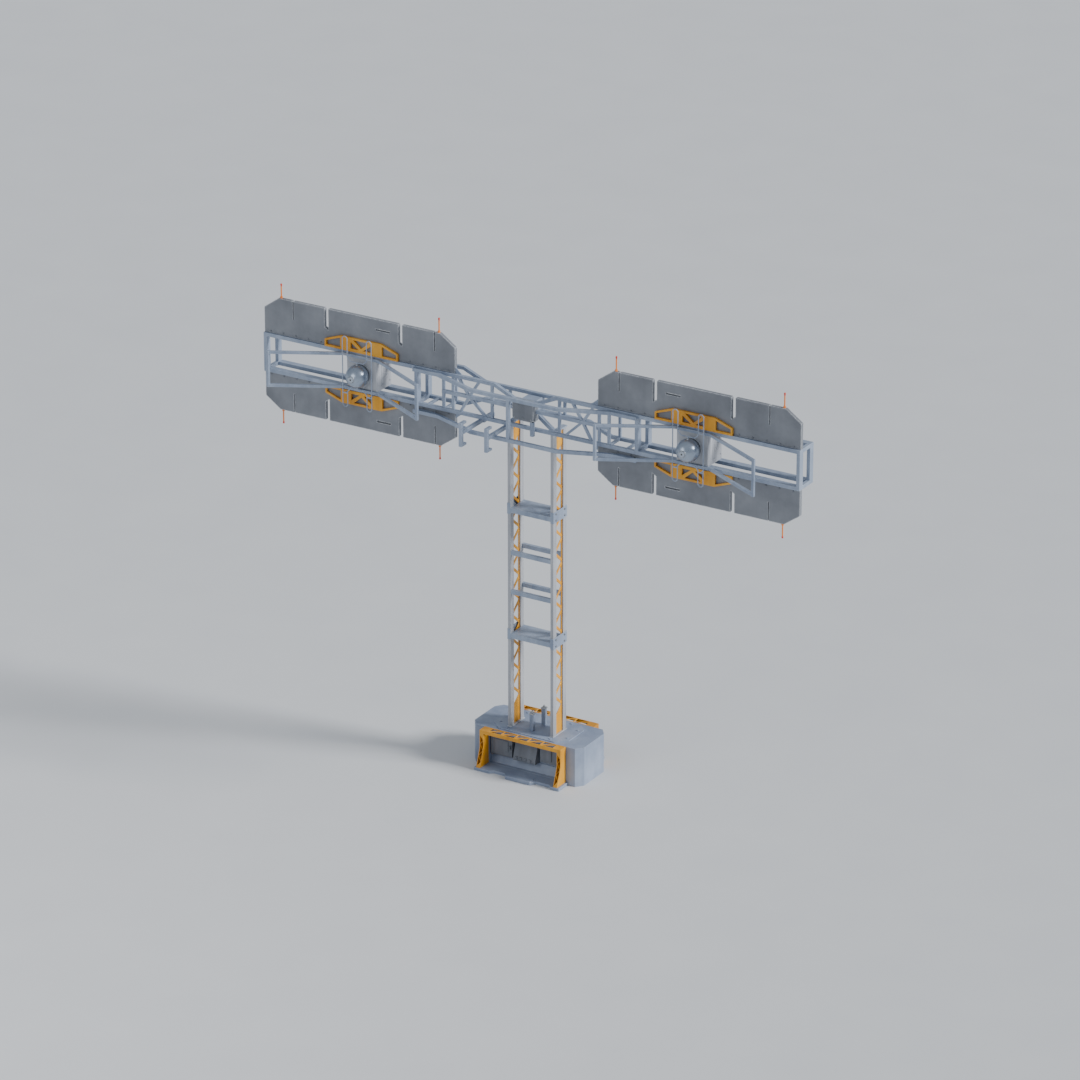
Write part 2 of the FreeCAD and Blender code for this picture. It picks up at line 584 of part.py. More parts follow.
def rungs():
    """Two pairs of level bars between the columns, one bar in front and one behind."""
    inner = "column_offset - column_thick / 2"
    bars = []
    for level in ("rung_upper", "rung_lower"):
        for place, near in (("front", "column_front"), ("back", "column_back - rung_deep")):
            bars.append(box(f"{level}_{place}", (f"-({inner})", inner),
                            (near, f"{near} + rung_deep"),
                            (f"{level} - rung_tall / 2", f"{level} + rung_tall / 2")))
    node("mast_rungs", group("rung_set", bars))


def mast_head():
    """A yoke on the column tops that holds the boom's bearing, with its bush."""
    bearing = box("bearing_block", ("-bearing_half", "bearing_half"),
                  ("bearing_front", "bearing_back"),
                  ("pivot_height - bearing_half", "pivot_height + bearing_half"))
    pieces = [bearing]
    middle = "(bearing_front + bearing_back) / 2"
    for side, sign in LEFT_RIGHT:
        centre = f"{sign} * column_offset"
        pieces.append(box(f"{side}_head_plate",
                          (f"{centre} - column_thick / 2 - head_margin",
                           f"{centre} + column_thick / 2 + head_margin"),
                          ("column_front", "column_back"), ("column_top", "head_deck")))
        pieces.append(brace(f"{side}_yoke_bar",
                            (f"{sign} * yoke_root", "pivot_height - bearing_half + yoke_bar / 2"),
                            (centre, "head_deck + yoke_bar / 4"),
                            (f"{middle} - yoke_bar / 2", f"{middle} + yoke_bar / 2"), "yoke_bar"))
    seat = rod("bush_seat", "Y", ("0", "bearing_front - 1", "pivot_height"),
               "bearing_back - bearing_front + 2", "shaft_radius + shaft_gap + bush_wall")
    node("mast_head_yoke", cut("yoke_bored", fuse("yoke_weld", pieces), seat))
    sleeve = rod("bush_sleeve", "Y", ("0", "bearing_front", "pivot_height"),
                 "bearing_back - bearing_front", "shaft_radius + shaft_gap + bush_wall")
    bore = rod("bush_bore", "Y", ("0", "bearing_front - 1", "pivot_height"),
               "bearing_back - bearing_front + 2", "shaft_radius + shaft_gap")
    node("pivot_bush", cut("bush_bored", sleeve, bore))


# ---------------------------------------------------------------- boom

FRAME_Y = ("front_face", "front_face + tube")
BACK_Y = ("back_face", "back_face + tube")


def bent_chord(name, knots, y, width):
    """A chord in an upright plane through (x, z) knots given for +X and mirrored to -X."""
    line = [(f"-({x})", z) for x, z in reversed(knots)] + knots
    pieces = []
    for number, (first, last) in enumerate(zip(line, line[1:])):
        pieces.append(brace(f"{name}_run_{number}", first, last, y, width))
    for number, (x, z) in enumerate(line[1:-1]):
        pieces.append(rod(f"{name}_bend_{number}", "Y", (x, y[0], z), f"({y[1]}) - ({y[0]})",
                          f"({width}) / 2"))
    return pieces


def front_frame():
    """Front plane of the boom: three chords, double end posts and a pair of X braces."""
    rail = "pivot_height + rail_offset - tube / 2"
    foot = "pivot_height - rail_offset + tube / 2"
    dip = "pivot_height + dip_offset - tube / 2"
    node("boom_front_top_chord",
         fuse("front_top_weld", bent_chord("front_top", [("dip_end", dip), ("dip_start", rail),
                                                         ("arm_start", rail)], FRAME_Y, "tube")))
    above, below = "pivot_height + tube / 2", "pivot_height - tube / 2"
    spines = [box(f"{side}_spine", span, FRAME_Y, (below, above))
              for side, span in (("left", ("-(spine_end)", "-hub_half")),
                                 ("right", ("hub_half", "spine_end")))]
    node("boom_spine", group("spine_pair", spines))
    node("boom_front_lower_chord",
         box("front_lower", ("-arm_start", "arm_start"), FRAME_Y,
             (f"{foot} - tube / 2", f"{foot} + tube / 2")))
    top, low = f"{rail} - tube / 2", f"{foot} + tube / 2"
    inset = ("front_face + web_inset", "front_face + tube - web_inset")
    near, far = "(dip_start + inner_post)", "(arm_start - middle_post)"
    bay = f"({far} - {near} - web)"
    knot = f"({near} + web / 2 + {bay} * knot_share)"
    posts, braces = [], []
    for side, sign in LEFT_RIGHT:
        for number, x in enumerate((near, far, "(spine_end - web / 2)")):
            for half, (start, end) in (("upper", (above, top)), ("lower", (low, below))):
                posts.append(box(f"{side}_post_{number}_{half}",
                                 (f"{sign} * {x} - web / 2", f"{sign} * {x} + web / 2"),
                                 inset, (start, end)))
        for half, z_far, room, shares in (("upper", rail, (above, top), ("upper_leg_near", "upper_leg_far")),
                                          ("lower", foot, (low, below),
                                           ("lower_leg_near", "lower_leg_far"))):
            legs = [brace(f"{side}_brace_{half}_{number}",
                          (f"{sign} * ({near} + web / 2 + {bay} * {share})", z_far),
                          (f"{sign} * {knot}", "pivot_height"), inset, "brace_bar")
                    for number, share in enumerate(shares)]
            window = doc.addObject("Part::Common", f"{side}_brace_{half}_trim")
            window.Base = fuse(f"{side}_brace_{half}_pair", legs)
            reach = sided(sign, f"{near} + web / 2", f"{far} - web / 2")
            window.Tool = box(f"{side}_brace_{half}_room", reach, inset, room)
            braces.append(window)
    node("boom_posts", group("post_set", posts))
    node("boom_braces", group("brace_set", braces))


def back_frame():
    """Back plane of the boom: two chords pinched towards its axis, posts, ties and a flange."""
    inset = ("back_face + web_inset", "back_face + tube - web_inset")
    chords, webs = [], []
    for level, sign in (("top", 1), ("low", -1)):
        wide = f"(pivot_height + {sign} * (rail_offset - tube / 2))"
        tight = f"(pivot_height + {sign} * (pinch_offset - tube / 2))"
        knots = [("pinch_end", tight), ("pinch_start", wide), ("arm_start", wide)]
        chords.append(fuse(f"back_{level}_weld",
                           bent_chord(f"back_{level}", knots, BACK_Y, "tube")))
        for side, mark in LEFT_RIGHT:
            for number, x in enumerate(("inner_tie", "outer_tie")):
                centre = f"{mark} * (arm_start - {x})"
                webs.append(box(f"tie_{level}_{side}_{number}",
                                (f"{centre} - tie_bar / 2", f"{centre} + tie_bar / 2"),
                                ("front_face + tube", "back_face"),
                                (f"{wide} - tie_bar / 2", f"{wide} + tie_bar / 2")))
    for side, mark in LEFT_RIGHT:
        for number, (x, reach) in enumerate((("back_post", "(pinch_offset - tube)"),
                                             ("(arm_start - inner_tie)", "(rail_offset - tube)"))):
            webs.append(box(f"back_post_{side}_{number}",
                            (f"{mark} * {x} - web / 2", f"{mark} * {x} + web / 2"), inset,
                            (f"pivot_height - {reach}", f"pivot_height + {reach}")))
    flange = box("back_hub_flange", ("-flange_half", "flange_half"),
                 ("back_face - flange_proud", "back_face + tube"),
                 ("pivot_height - (pinch_offset - tube)", "pivot_height + (pinch_offset - tube)"))
    seat = rod("back_hub_seat", "Y", ("0", "back_face - flange_proud - 1", "pivot_height"),
               "tube + flange_proud + 2", "shaft_radius")
    webs.append(cut("back_hub_bored", flange, seat))
    node("boom_back_chords", group("back_chord_pair", chords))
    node("boom_back_webs", group("back_web_set", webs))


def hub():
    """Gearbox at the middle of the boom, its cover, the pivot shaft and a locking finger."""
    low = "(pivot_height + hub_bottom)"
    case = box("hub_case", ("-hub_half", "hub_half"), ("front_face", "bearing_front - hub_gap"),
               (low, "pivot_height + dip_offset - tube"))
    seat = rod("hub_seat", "Y", ("0", "front_face - 1", "pivot_height"),
               "bearing_front - front_face + 2", "shaft_radius")
    node("hub_gearbox", cut("hub_bored", case, seat))
    cover_front = "front_face - hub_cover_thick"
    high = "pivot_height + hub_cover_top"
    cover = plate("hub_cover_body", "XZ_Plane",
                  [[("-hub_half + hub_cover_cut", low), ("hub_half - hub_cover_cut", low),
                    ("hub_half", f"{low} + hub_cover_cut"), ("hub_half", f"{high} - hub_cover_cut"),
                    ("hub_half - hub_cover_cut", high), ("-hub_half + hub_cover_cut", high),
                    ("-hub_half", f"{high} - hub_cover_cut"),
                    ("-hub_half", f"{low} + hub_cover_cut")]], "hub_cover_thick", "-front_face")
    node("hub_cover", cover)
    node("pivot_shaft", rod("shaft", "Y", ("0", "front_face", "pivot_height"),
                            "back_face + tube - front_face", "shaft_radius"))
    node("locking_finger", box("finger", ("finger_left", "finger_left + finger_width"),
                               (cover_front, "front_face - finger_gap"), (f"{low} - finger_tall", low)))


def bows():
    """Upper and lower bent bars that stand forward of the boom, and the strut between them."""
    ends = [("arm_start + bow_lap", "front_face - tube / 2"),
            ("arm_start - bow_bend", "front_face - tube / 2"), ("bow_flat", "bow_front")]
    route = [(f"-({x})", y) for x, y in ends] + [(x, y) for x, y in reversed(ends)]
    upper_low = "pivot_height + bow_upper - tube / 2"
    lower_low = "pivot_height + bow_lower - tube / 2"
    upper = mitred_bar("upper_bow_bar", route, "tube", upper_low, f"{upper_low} + tube")
    strut = box("bow_strut", ("strut_left", "strut_left + strut_width"),
                ("bow_front - tube / 2", "bow_front + tube / 2"),
                (f"{lower_low} + tube", upper_low))
    node("upper_bow", fuse("upper_bow_weld", [upper, strut]))
    lower = mitred_bar("lower_bow_bar", route, "tube", lower_low, f"{lower_low} + tube")
    pads = []
    for side, sign in LEFT_RIGHT:
        centre = f"{sign} * (arm_start - (bow_bend - bow_lap) / 2)"
        pads.append(box(f"{side}_bow_pad", (f"{centre} - bow_pad", f"{centre} + bow_pad"),
                        ("front_face", "panel_front"), (lower_low, f"{lower_low} + tube")))
    node("lower_bow", fuse("lower_bow_weld", [lower] + pads))


def ladder_rest(name, x, back):
    """An arm under the boom with an upright rest and two short flanges at its front end."""
    top = "pivot_height - rail_offset"
    across = (f"{x} - tube / 2", f"{x} + tube / 2")
    wide = (f"{x} - tube / 2 - rest_sleeve", f"{x} + tube / 2 + rest_sleeve")
    centre = "pivot_height - rail_offset - tube"
    low, high = f"{centre} - rest_tall / 2", f"{centre} + rest_tall / 2"
    front = ("rest_front", "rest_front + tube")
    pieces = [box(f"{name}_arm", across, ("rest_front", back), (f"{top} - tube", top)),
              box(f"{name}_sleeve", wide, ("front_face + tube", back),
                  (f"{top} - tube - rest_sleeve", top)),
              box(f"{name}_post", across, front, (low, high)),
              box(f"{name}_low_flange", across, ("rest_front", "rest_front + rest_flange"),
                  (low, f"{low} + rest_flange_thick")),
              box(f"{name}_high_flange", across, ("rest_front", "rest_front + rest_flange"),
                  (f"{high} - rest_flange_thick", high))]
    node(name, fuse(f"{name}_weld", pieces))


# ---------------------------------------------------------------- arms

def sided(sign, low, high):
    """A span on +X, or its mirror on -X."""
    return (low, high) if sign > 0 else (f"-({high})", f"-({low})")


def arm_frames(name, sign):
    """Front and back rail frames of one arm, the back one carrying the ties between them."""
    top = ("pivot_height + rail_offset - rail_tall", "pivot_height + rail_offset")
    low = ("pivot_height - rail_offset", "pivot_height - rail_offset + rail_tall")
    between = ("pivot_height - rail_offset + rail_tall", "pivot_height + rail_offset - rail_tall")
    span = sided(sign, "arm_start", "arm_end")
    inner = sided(sign, "arm_start", "arm_start + arm_post")
    outer = sided(sign, "arm_end - arm_post", "arm_end")
    front_y = ("front_face", "front_face + rail_deep")
    back_y = ("rail_back - rail_deep", "rail_back")
    for place, y in (("front", front_y), ("back", back_y)):
        pieces = [box(f"{name}_{place}_top_rail", span, y, top),
                  box(f"{name}_{place}_low_rail", span, y, low),
                  box(f"{name}_{place}_inner_post", inner, y, between),
                  box(f"{name}_{place}_outer_post", outer, y, between)]
        if place == "back":
            for number, (end, z) in enumerate(((inner, top), (inner, low), (outer, top),
                                               (outer, low))):
                pieces.append(box(f"{name}_tie_{number}", end,
                                  ("front_face + rail_deep", "rail_back - rail_deep"), z))
        node(f"{name}_arm_{place}_frame", fuse(f"{name}_{place}_weld", pieces))


def panel_pair(name, sign):
    """Upper and lower signal panels with cut corners, edge slots and one long slit."""
    low = "pivot_height + rail_offset"
    top = f"{low} + panel_tall"

    def flip(points):
        return points if sign > 0 else [(f"-({x})", z) for x, z in points]

    outline = [("panel_inner", low), ("panel_outer", low), ("panel_outer", f"{top} - panel_cut_z"),
               ("panel_outer - panel_cut_x", top), ("panel_inner + panel_cut_x", top),
               ("panel_inner", f"{top} - panel_cut_z")]
    body = plate(f"{name}_panel_body", "XZ_Plane", [flip(outline)], "panel_thick",
                 "-panel_front - panel_thick")
    slots = []
    for x, width, foot in (("panel_inner + narrow_inner", "narrow_slot", "0"),
                           ("panel_outer - narrow_outer", "narrow_slot", "0"),
                           ("panel_inner + wide_inner", "wide_slot", "slot_foot"),
                           ("panel_outer - wide_outer", "wide_slot", "slot_foot")):
        slots.append([(f"{x} - {width} / 2", f"{top} + slot_past"),
                      (f"{x} + {width} / 2", f"{top} + slot_past"),
                      (f"{x} + {width} / 2", f"{top} - panel_slot_deep"),
                      (f"{x} - {width} / 2", f"{top} - panel_slot_deep - {foot}")])
    slit = "panel_inner + slit_inner"
    slots.append(rectangle(slit, f"{slit} + slit_length", f"{top} - slit_depth - slit_tall",
                           f"{top} - slit_depth"))
    open_up(body, f"{name}_panel_slots", "XZ_Plane", [flip(loop) for loop in slots])
    upper = node(f"{name}_upper_panel", body)
    node(f"{name}_lower_panel", mirrored(f"{name}_panel_mirror", upper, LEVEL))


def aerials(name, sign):
    """Four warning wands with round tips on one arm's panels."""
    wands = []
    y = "panel_front + panel_thick / 2"
    for level, mark in (("upper", 1), ("lower", -1)):
        edge = "rail_offset + panel_tall"
        for place, x in (("inner", "panel_inner + aerial_inset"),
                         ("outer", "panel_outer - aerial_inset")):
            tag = f"{name}_{level}_{place}"
            start = f"pivot_height + {edge}" if mark > 0 else \
                f"pivot_height - ({edge}) - aerial_rise"
            tip = f"pivot_height + {mark} * ({edge} + aerial_rise - aerial_tip_radius)"
            foot = f"pivot_height + ({edge})" if mark > 0 else \
                f"pivot_height - ({edge}) - aerial_foot_tall"
            wands.append(fuse(f"{tag}_wand", [
                rod(f"{tag}_rod", "Z", (f"{sign} * ({x})", y, start), "aerial_rise",
                    "aerial_radius"),
                rod(f"{tag}_foot", "Z", (f"{sign} * ({x})", y, foot), "aerial_foot_tall",
                    "aerial_foot"),
                ball(f"{tag}_tip", (f"{sign} * ({x})", y, tip), "aerial_tip_radius")]))
    return wands


def lattice_truss(name, sign):
    """Lattice trusses standing on the top rail and hanging from the bottom rail."""
    low = "pivot_height + rail_offset"
    centre = f"{sign} * truss_centre"
    top = f"{low} + truss_tall"
    chord = "truss_chord"
    outline = [(f"{centre} - truss_half", low), (f"{centre} + truss_half", low),
               (f"{centre} + truss_half", f"{low} + truss_end"), (f"{centre} + truss_flat", top),
               (f"{centre} - truss_flat", top), (f"{centre} - truss_half", f"{low} + truss_end")]
    body = plate(f"{name}_truss_body", "XZ_Plane", [outline], "truss_thick",
                 "-panel_front + truss_inset")
    knee = "(truss_flat - truss_post)"
    middle = [(f"{centre} - {knee} + knee_gap", f"{low} + {chord} + foot_gap"),
              (f"{centre} - king_half", f"{low} + {chord} + foot_gap"),
              (f"{centre} - {knee} + knee_gap", f"{top} - {chord} - shoulder")]
    middle_right = [(f"{centre} + {knee} - knee_gap", f"{low} + {chord} + foot_gap"),
                    (f"{centre} + {knee} - knee_gap", f"{top} - {chord} - shoulder"),
                    (f"{centre} + king_half", f"{low} + {chord} + foot_gap")]
    crown = [(f"{centre} - {knee} + crown_gap", f"{top} - {chord}"),
             (centre, f"{low} + {chord} + crown_foot"),
             (f"{centre} + {knee} - crown_gap", f"{top} - {chord}")]
    loops = [middle, middle_right, crown]
    for mark in (-1, 1):
        loops.append([(f"{centre} + {mark} * (truss_flat + wing_gap)", f"{low} + {chord}"),
                      (f"{centre} + {mark} * (truss_half - knee_gap)", f"{low} + {chord}"),
                      (f"{centre} + {mark} * (truss_half - knee_gap)", f"{low} + truss_end - wing_drop"),
                      (f"{centre} + {mark} * (truss_flat + wing_gap)", f"{top} - {chord} - wing_shoulder")])
    open_up(body, f"{name}_truss_holes", "XZ_Plane", loops)
    node(f"{name}_arm_trusses",
         group(f"{name}_truss_pair", [body, mirrored(f"{name}_truss_mirror", body, LEVEL)]))


def lamp(name, sign):
    """Lamp housing with its round socket, and the ball that pans on two pins of its guard."""
    x = f"{sign} * lamp_offset"
    half = "rail_offset - rail_tall"
    case = box(f"{name}_case", (f"{x} - housing_half", f"{x} + housing_half"),
               ("front_face", "housing_back"),
               (f"pivot_height - ({half})", f"pivot_height + ({half})"))
    face = box(f"{name}_case_face", (f"{x} - housing_half", f"{x} + housing_half"),
               ("housing_front", "front_face"),
               ("pivot_height - splay_offset + splay_tube / 2 + face_clear",
                "pivot_height + splay_offset - splay_tube / 2 - face_clear"))
    socket = rod(f"{name}_socket", "Y", (x, "housing_front - socket_reach", "pivot_height"),
                 "socket_reach", "socket_radius")
    dish = ball(f"{name}_dish", (x, "lamp_front", "pivot_height"), "lamp_radius + lamp_clear")
    node(f"{name}_lamp_housing",
         cut(f"{name}_housing_cut", fuse(f"{name}_housing_weld", [case, face, socket]), dish))
    outer = ball(f"{name}_ball_outer", (x, "lamp_front", "pivot_height"), "lamp_radius")
    hollow = ball(f"{name}_ball_hollow", (x, "lamp_front", "pivot_height"),
                  "lamp_radius - lamp_wall")
    pin_hole = rod(f"{name}_pin_hole", "Z", (x, "lamp_front", "pivot_height - lamp_radius - 1"),
                   "2 * lamp_radius + 2", "pan_pin_radius + pan_gap")
    eye_hole = rod(f"{name}_eye_hole", "Y",
                   (x, "lamp_front - lamp_radius - eye_hole_past", "pivot_height"),
                   "eye_hole_deep", "eye_radius")
    node(f"{name}_lamp_ball", cut(f"{name}_ball_cut", outer,
                                  fuse(f"{name}_ball_tools", [hollow, pin_hole, eye_hole])))
    eye = rod(f"{name}_eye_glass", "Y",
              (x, "lamp_front - lamp_radius - eye_proud", "pivot_height"), "eye_deep",
              "eye_radius")
    node(f"{name}_lamp_lens", eye)


def lamp_guard(name, sign):
    """H-shaped wire guard whose two cross bars carry the ball's pan pins."""
    x = f"{sign} * lamp_offset"
    leg = "guard_half - guard_leg"
    corner = "guard_waist + guard_chamfer"

    def quarter(reach):
        return [("guard_half", f"{reach} - guard_round"), ("guard_half - guard_round", reach),
                (f"{leg} + guard_round", reach), (leg, f"{reach} - guard_round"), (leg, corner),
                (f"{leg} - guard_chamfer", "guard_waist")]

    upper, lower = quarter("guard_reach + guard_lift"), quarter("guard_reach - guard_lift")
    outline = upper + [(f"-({u})", v) for u, v in reversed(upper)] \
        + [(f"-({u})", f"-({v})") for u, v in lower] + [(u, f"-({v})") for u, v in reversed(lower)]
    centre = FreeCAD.Vector(value(x), value("lamp_front"), value("pivot_height"))
    corners = [centre + FreeCAD.Vector(value(u), 0, value(v)) for u, v in outline]
    wires = []
    radius = size("guard_rod")
    for first, last in zip(corners, corners[1:] + corners[:1]):
        wires.append(Part.makeCylinder(radius, (last - first).Length, first, last - first))
        wires.append(Part.makeSphere(radius, first))
    loop = doc.addObject("Part::Feature", f"{name}_guard_wire")
    loop.Shape = wires[0].multiFuse(wires[1:])
    pieces = [loop]
    for mark in (-1, 1):
        start = "pivot_height + lamp_radius - pin_grip" if mark > 0 else \
            "pivot_height - guard_waist"
        pieces.append(rod(f"{name}_pan_pin_{mark + 1}", "Z", (x, "lamp_front", start),
                          "guard_waist - lamp_radius + pin_grip", "pan_pin_radius"))
        for place in (-1, 1):
            pieces.append(rod(f"{name}_stay_{mark + 1}_{place + 1}", "Y",
                              (f"{x} + {place} * (guard_half - guard_leg / 2)", "lamp_front - bridge_half",
                               f"pivot_height + {mark} * (rail_offset - stay_inset)"),
                              "front_face - lamp_front + bridge_half", "guard_rod"))
            pieces.append(box(f"{name}_bridge_{mark + 1}_{place + 1}",
                              (f"{x} + {place} * (guard_half - guard_leg / 2) - guard_leg / 2",
                               f"{x} + {place} * (guard_half - guard_leg / 2) + guard_leg / 2"),
                              ("lamp_front - bridge_half", "lamp_front + bridge_half"),
                              (f"pivot_height + {mark} * (rail_offset - stay_inset) - bridge_rise",
                               f"pivot_height + {mark} * (rail_offset - stay_inset) + bridge_rise")))
    node(f"{name}_lamp_guard", fuse(f"{name}_guard_weld", pieces))


def splay_guard(name, sign):
    """Guard frame that splays forward from the arm's front rails to an end post each side."""
    x = f"{sign} * lamp_offset"
    back = "front_face - splay_tube / 2"
    route = [(f"{x} - splay_half", "splay_front"), (f"{x} - splay_flat", back),
             (f"{x} + splay_flat", back), (f"{x} + splay_half", "splay_front")]
    pieces = []
    for level, mark in (("upper", 1), ("lower", -1)):
        low = f"pivot_height + {mark} * splay_offset - splay_tube / 2"
        pieces.append(mitred_bar(f"{name}_splay_{level}", route, "splay_tube", low,
                                 f"{low} + splay_tube"))
    for place in (-1, 1):
        post = f"{x} + {place} * splay_half"
        pieces.append(box(f"{name}_splay_post_{place + 1}",
                          (f"{post} - splay_tube / 2", f"{post} + splay_tube / 2"),
                          ("splay_front - splay_tube / 2", "splay_front + splay_tube / 2"),
                          ("pivot_height - splay_offset - splay_tube / 2",
                           "pivot_height + splay_offset + splay_tube / 2")))
    node(f"{name}_splay_guard", fuse(f"{name}_splay_weld", pieces))


# ---------------------------------------------------------------- assembly

base_block()
step_plate()
portal()
bay_equipment()
mast_foot()
for side_name, side_sign in LEFT_RIGHT:
    column(side_name, side_sign)
shelf("upper_shelf", "shelf_upper")
shelf("lower_shelf", "shelf_lower")
rungs()
mast_head()
front_frame()
back_frame()
hub()
bows()
ladder_rest("left_ladder_rest", "rest_left", "rest_back")
ladder_rest("right_ladder_rest", "rest_right", "column_front - rest_clear")
wand_set = []
for side_name, side_sign in LEFT_RIGHT:
    arm_frames(side_name, side_sign)
    panel_pair(side_name, side_sign)
    wand_set += aerials(side_name, side_sign)
    lattice_truss(side_name, side_sign)
    lamp(side_name, side_sign)
    lamp_guard(side_name, side_sign)
    splay_guard(side_name, side_sign)
node("panel_aerials", group("aerial_set", wand_set))
doc.recompute()

faults = [obj.Name for obj in doc.Objects if "Invalid" in obj.State or "Error" in obj.State]
for obj in nodes:
    if obj.Shape.isNull() or not obj.Shape.isValid():
        faults.append(obj.Label + " shape")
if faults:
    raise RuntimeError("failed: " + ", ".join(faults))

os.makedirs("parts", exist_ok=True)
for obj in nodes:
    obj.Shape.exportStep(f"parts/{obj.Label}.step")
    print(f"{obj.Label:28s} {len(obj.Shape.Solids)} solids {obj.Shape.Volume / 1e6:9.3f} litres")
print(len(nodes), "nodes")
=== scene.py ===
# %% [markdown]
# # A twin-column semaphore signal
# This lesson dresses a finished steel model of a semaphore signal.  The model already has
# every tube, panel and joint in its right place, so the work here is what a paint shop and a
# fitter would do: paint and wear each part, take the sharpness off the edges, and add the
# small hardware such as bolts, stiffeners, covers and lamp trim.

# %% Load the steel model
import json
import math
import bmesh
import bpy
from mathutils import Matrix, Vector


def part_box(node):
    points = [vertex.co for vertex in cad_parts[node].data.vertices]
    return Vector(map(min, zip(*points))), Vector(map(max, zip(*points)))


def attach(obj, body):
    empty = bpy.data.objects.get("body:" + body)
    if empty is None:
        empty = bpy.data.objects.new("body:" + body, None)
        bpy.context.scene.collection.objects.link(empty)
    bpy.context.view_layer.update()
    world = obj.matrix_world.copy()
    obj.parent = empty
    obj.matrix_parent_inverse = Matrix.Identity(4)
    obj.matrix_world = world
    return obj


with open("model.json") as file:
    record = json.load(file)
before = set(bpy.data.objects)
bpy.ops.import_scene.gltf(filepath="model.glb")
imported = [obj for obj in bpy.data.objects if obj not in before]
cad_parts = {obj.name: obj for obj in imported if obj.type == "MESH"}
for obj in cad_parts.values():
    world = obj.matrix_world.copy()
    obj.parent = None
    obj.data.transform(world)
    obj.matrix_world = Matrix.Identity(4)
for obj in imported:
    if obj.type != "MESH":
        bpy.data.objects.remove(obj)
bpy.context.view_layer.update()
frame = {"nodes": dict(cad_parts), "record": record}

nodes = frame["nodes"]
MM = 0.001

# %% [markdown]
# ## Floor, light and camera
# A plain pale floor and soft light, as in a small studio.  The main light is a broad sun
# that stands to the right of the signal and a little behind it, so faces that look right are
# the brightest and the signal's face stays calm.  A weak broad light from the front and an
# even sky keep the shadows open.

# %% Studio
def camera_at(azimuth, elevation, distance, aim_right, aim_up, lens):
    """A camera on a sphere round the mast, moved sideways and up by two small offsets."""
    back = Vector((math.sin(azimuth) * math.cos(elevation),
                   -math.cos(azimuth) * math.cos(elevation), math.sin(elevation)))
    right = Vector((math.cos(azimuth), math.sin(azimuth), 0.0))
    up = back.cross(right)
    data = bpy.data.cameras.new("camera")
    data.sensor_width = 36.0
    data.lens = lens
    data.clip_end = 1000.0
    camera = bpy.data.objects.new("camera", data)
    turn = Matrix((right, up, back)).transposed().to_4x4()
    place = right * aim_right + up * aim_up + back * distance
    camera.matrix_world = Matrix.Translation(place) @ turn
    bpy.context.scene.collection.objects.link(camera)
    bpy.context.scene.camera = camera


camera_at(azimuth=0.54391, elevation=0.40092, distance=56.0, aim_right=0.0073, aim_up=2.1666,
          lens=193.34)
MAST_MIDDLE = Vector((0.0, 0.0, 2.5))
LIGHT_DISTANCE = 12.0


def light(name, kind, direction, energy, spread):
    """A light on the mast's middle; spread is degrees for a sun and metres for a disk."""
    data = bpy.data.lights.new(name, kind)
    data.energy = energy
    if kind == "SUN":
        data.angle = math.radians(spread)
    else:
        data.shape = "DISK"
        data.size = spread
    lamp = bpy.data.objects.new(name, data)
    away = Vector(direction).normalized()
    lamp.location = away * LIGHT_DISTANCE + MAST_MIDDLE
    lamp.rotation_euler = away.to_track_quat("Z", "Y").to_euler()
    bpy.context.scene.collection.objects.link(lamp)


light("right_sun", "SUN", direction=(0.88, 0.20, 0.52), energy=3.9, spread=14.0)
light("front_fill", "AREA", direction=(-0.35, -1.0, 0.45), energy=260.0, spread=7.0)

world = bpy.data.worlds.new("studio_sky")
bpy.context.scene.world = world
world.use_nodes = True
sky = world.node_tree.nodes["Background"]
sky.inputs["Color"].default_value = (0.80, 0.86, 0.95, 1.0)
sky.inputs["Strength"].default_value = 0.50

FLOOR_SIZE = 200.0
floor_mesh = bpy.data.meshes.new("floor")
floor_shape = bmesh.new()
bmesh.ops.create_grid(floor_shape, x_segments=1, y_segments=1, size=FLOOR_SIZE)
floor_shape.to_mesh(floor_mesh)
floor_shape.free()
floor = bpy.data.objects.new("floor", floor_mesh)
bpy.context.scene.collection.objects.link(floor)
print("camera and lights are set")

# %% [markdown]
# ## Two helpers for materials
# Paint makers give colours as sRGB hex values, but shaders want linear light, so one
# function turns one into the other.  A second function adds a shader node with its settings
# and its links in one line, which keeps each material short enough to read.

# %% Colour and node helpers
def linear(hex_text):
    """The linear colour of an sRGB hex value."""
    parts = [int(hex_text[i:i + 2], 16) / 255 for i in (1, 3, 5)]
    bent = [c / 12.92 if c <= 0.04045 else ((c + 0.055) / 1.055) ** 2.4 for c in parts]
    return (*bent, 1.0)


def add(tree, kind, sockets=None, **settings):
    """Add a shader node; sockets maps an input's name or number to a value or an output."""
    node = tree.nodes.new("ShaderNode" + kind)
    for name, value in settings.items():
        setattr(node, name, value)
    for key, value in (sockets or {}).items():
        if isinstance(value, bpy.types.NodeSocket):
            tree.links.new(value, node.inputs[key])
        else:
            node.inputs[key].default_value = value
    return node


def new_material(name):
    """A material with one shader, and the piece's own coordinates to hang patterns on."""
    material = bpy.data.materials.new(name)
    material.use_nodes = True
    tree = material.node_tree
    tree.nodes.clear()
    out = tree.nodes.new("ShaderNodeOutputMaterial")
    shader = add(tree, "BsdfPrincipled")
    tree.links.new(shader.outputs["BSDF"], out.inputs["Surface"])
    place = add(tree, "TexCoord").outputs["Object"]
    return material, tree, shader, place
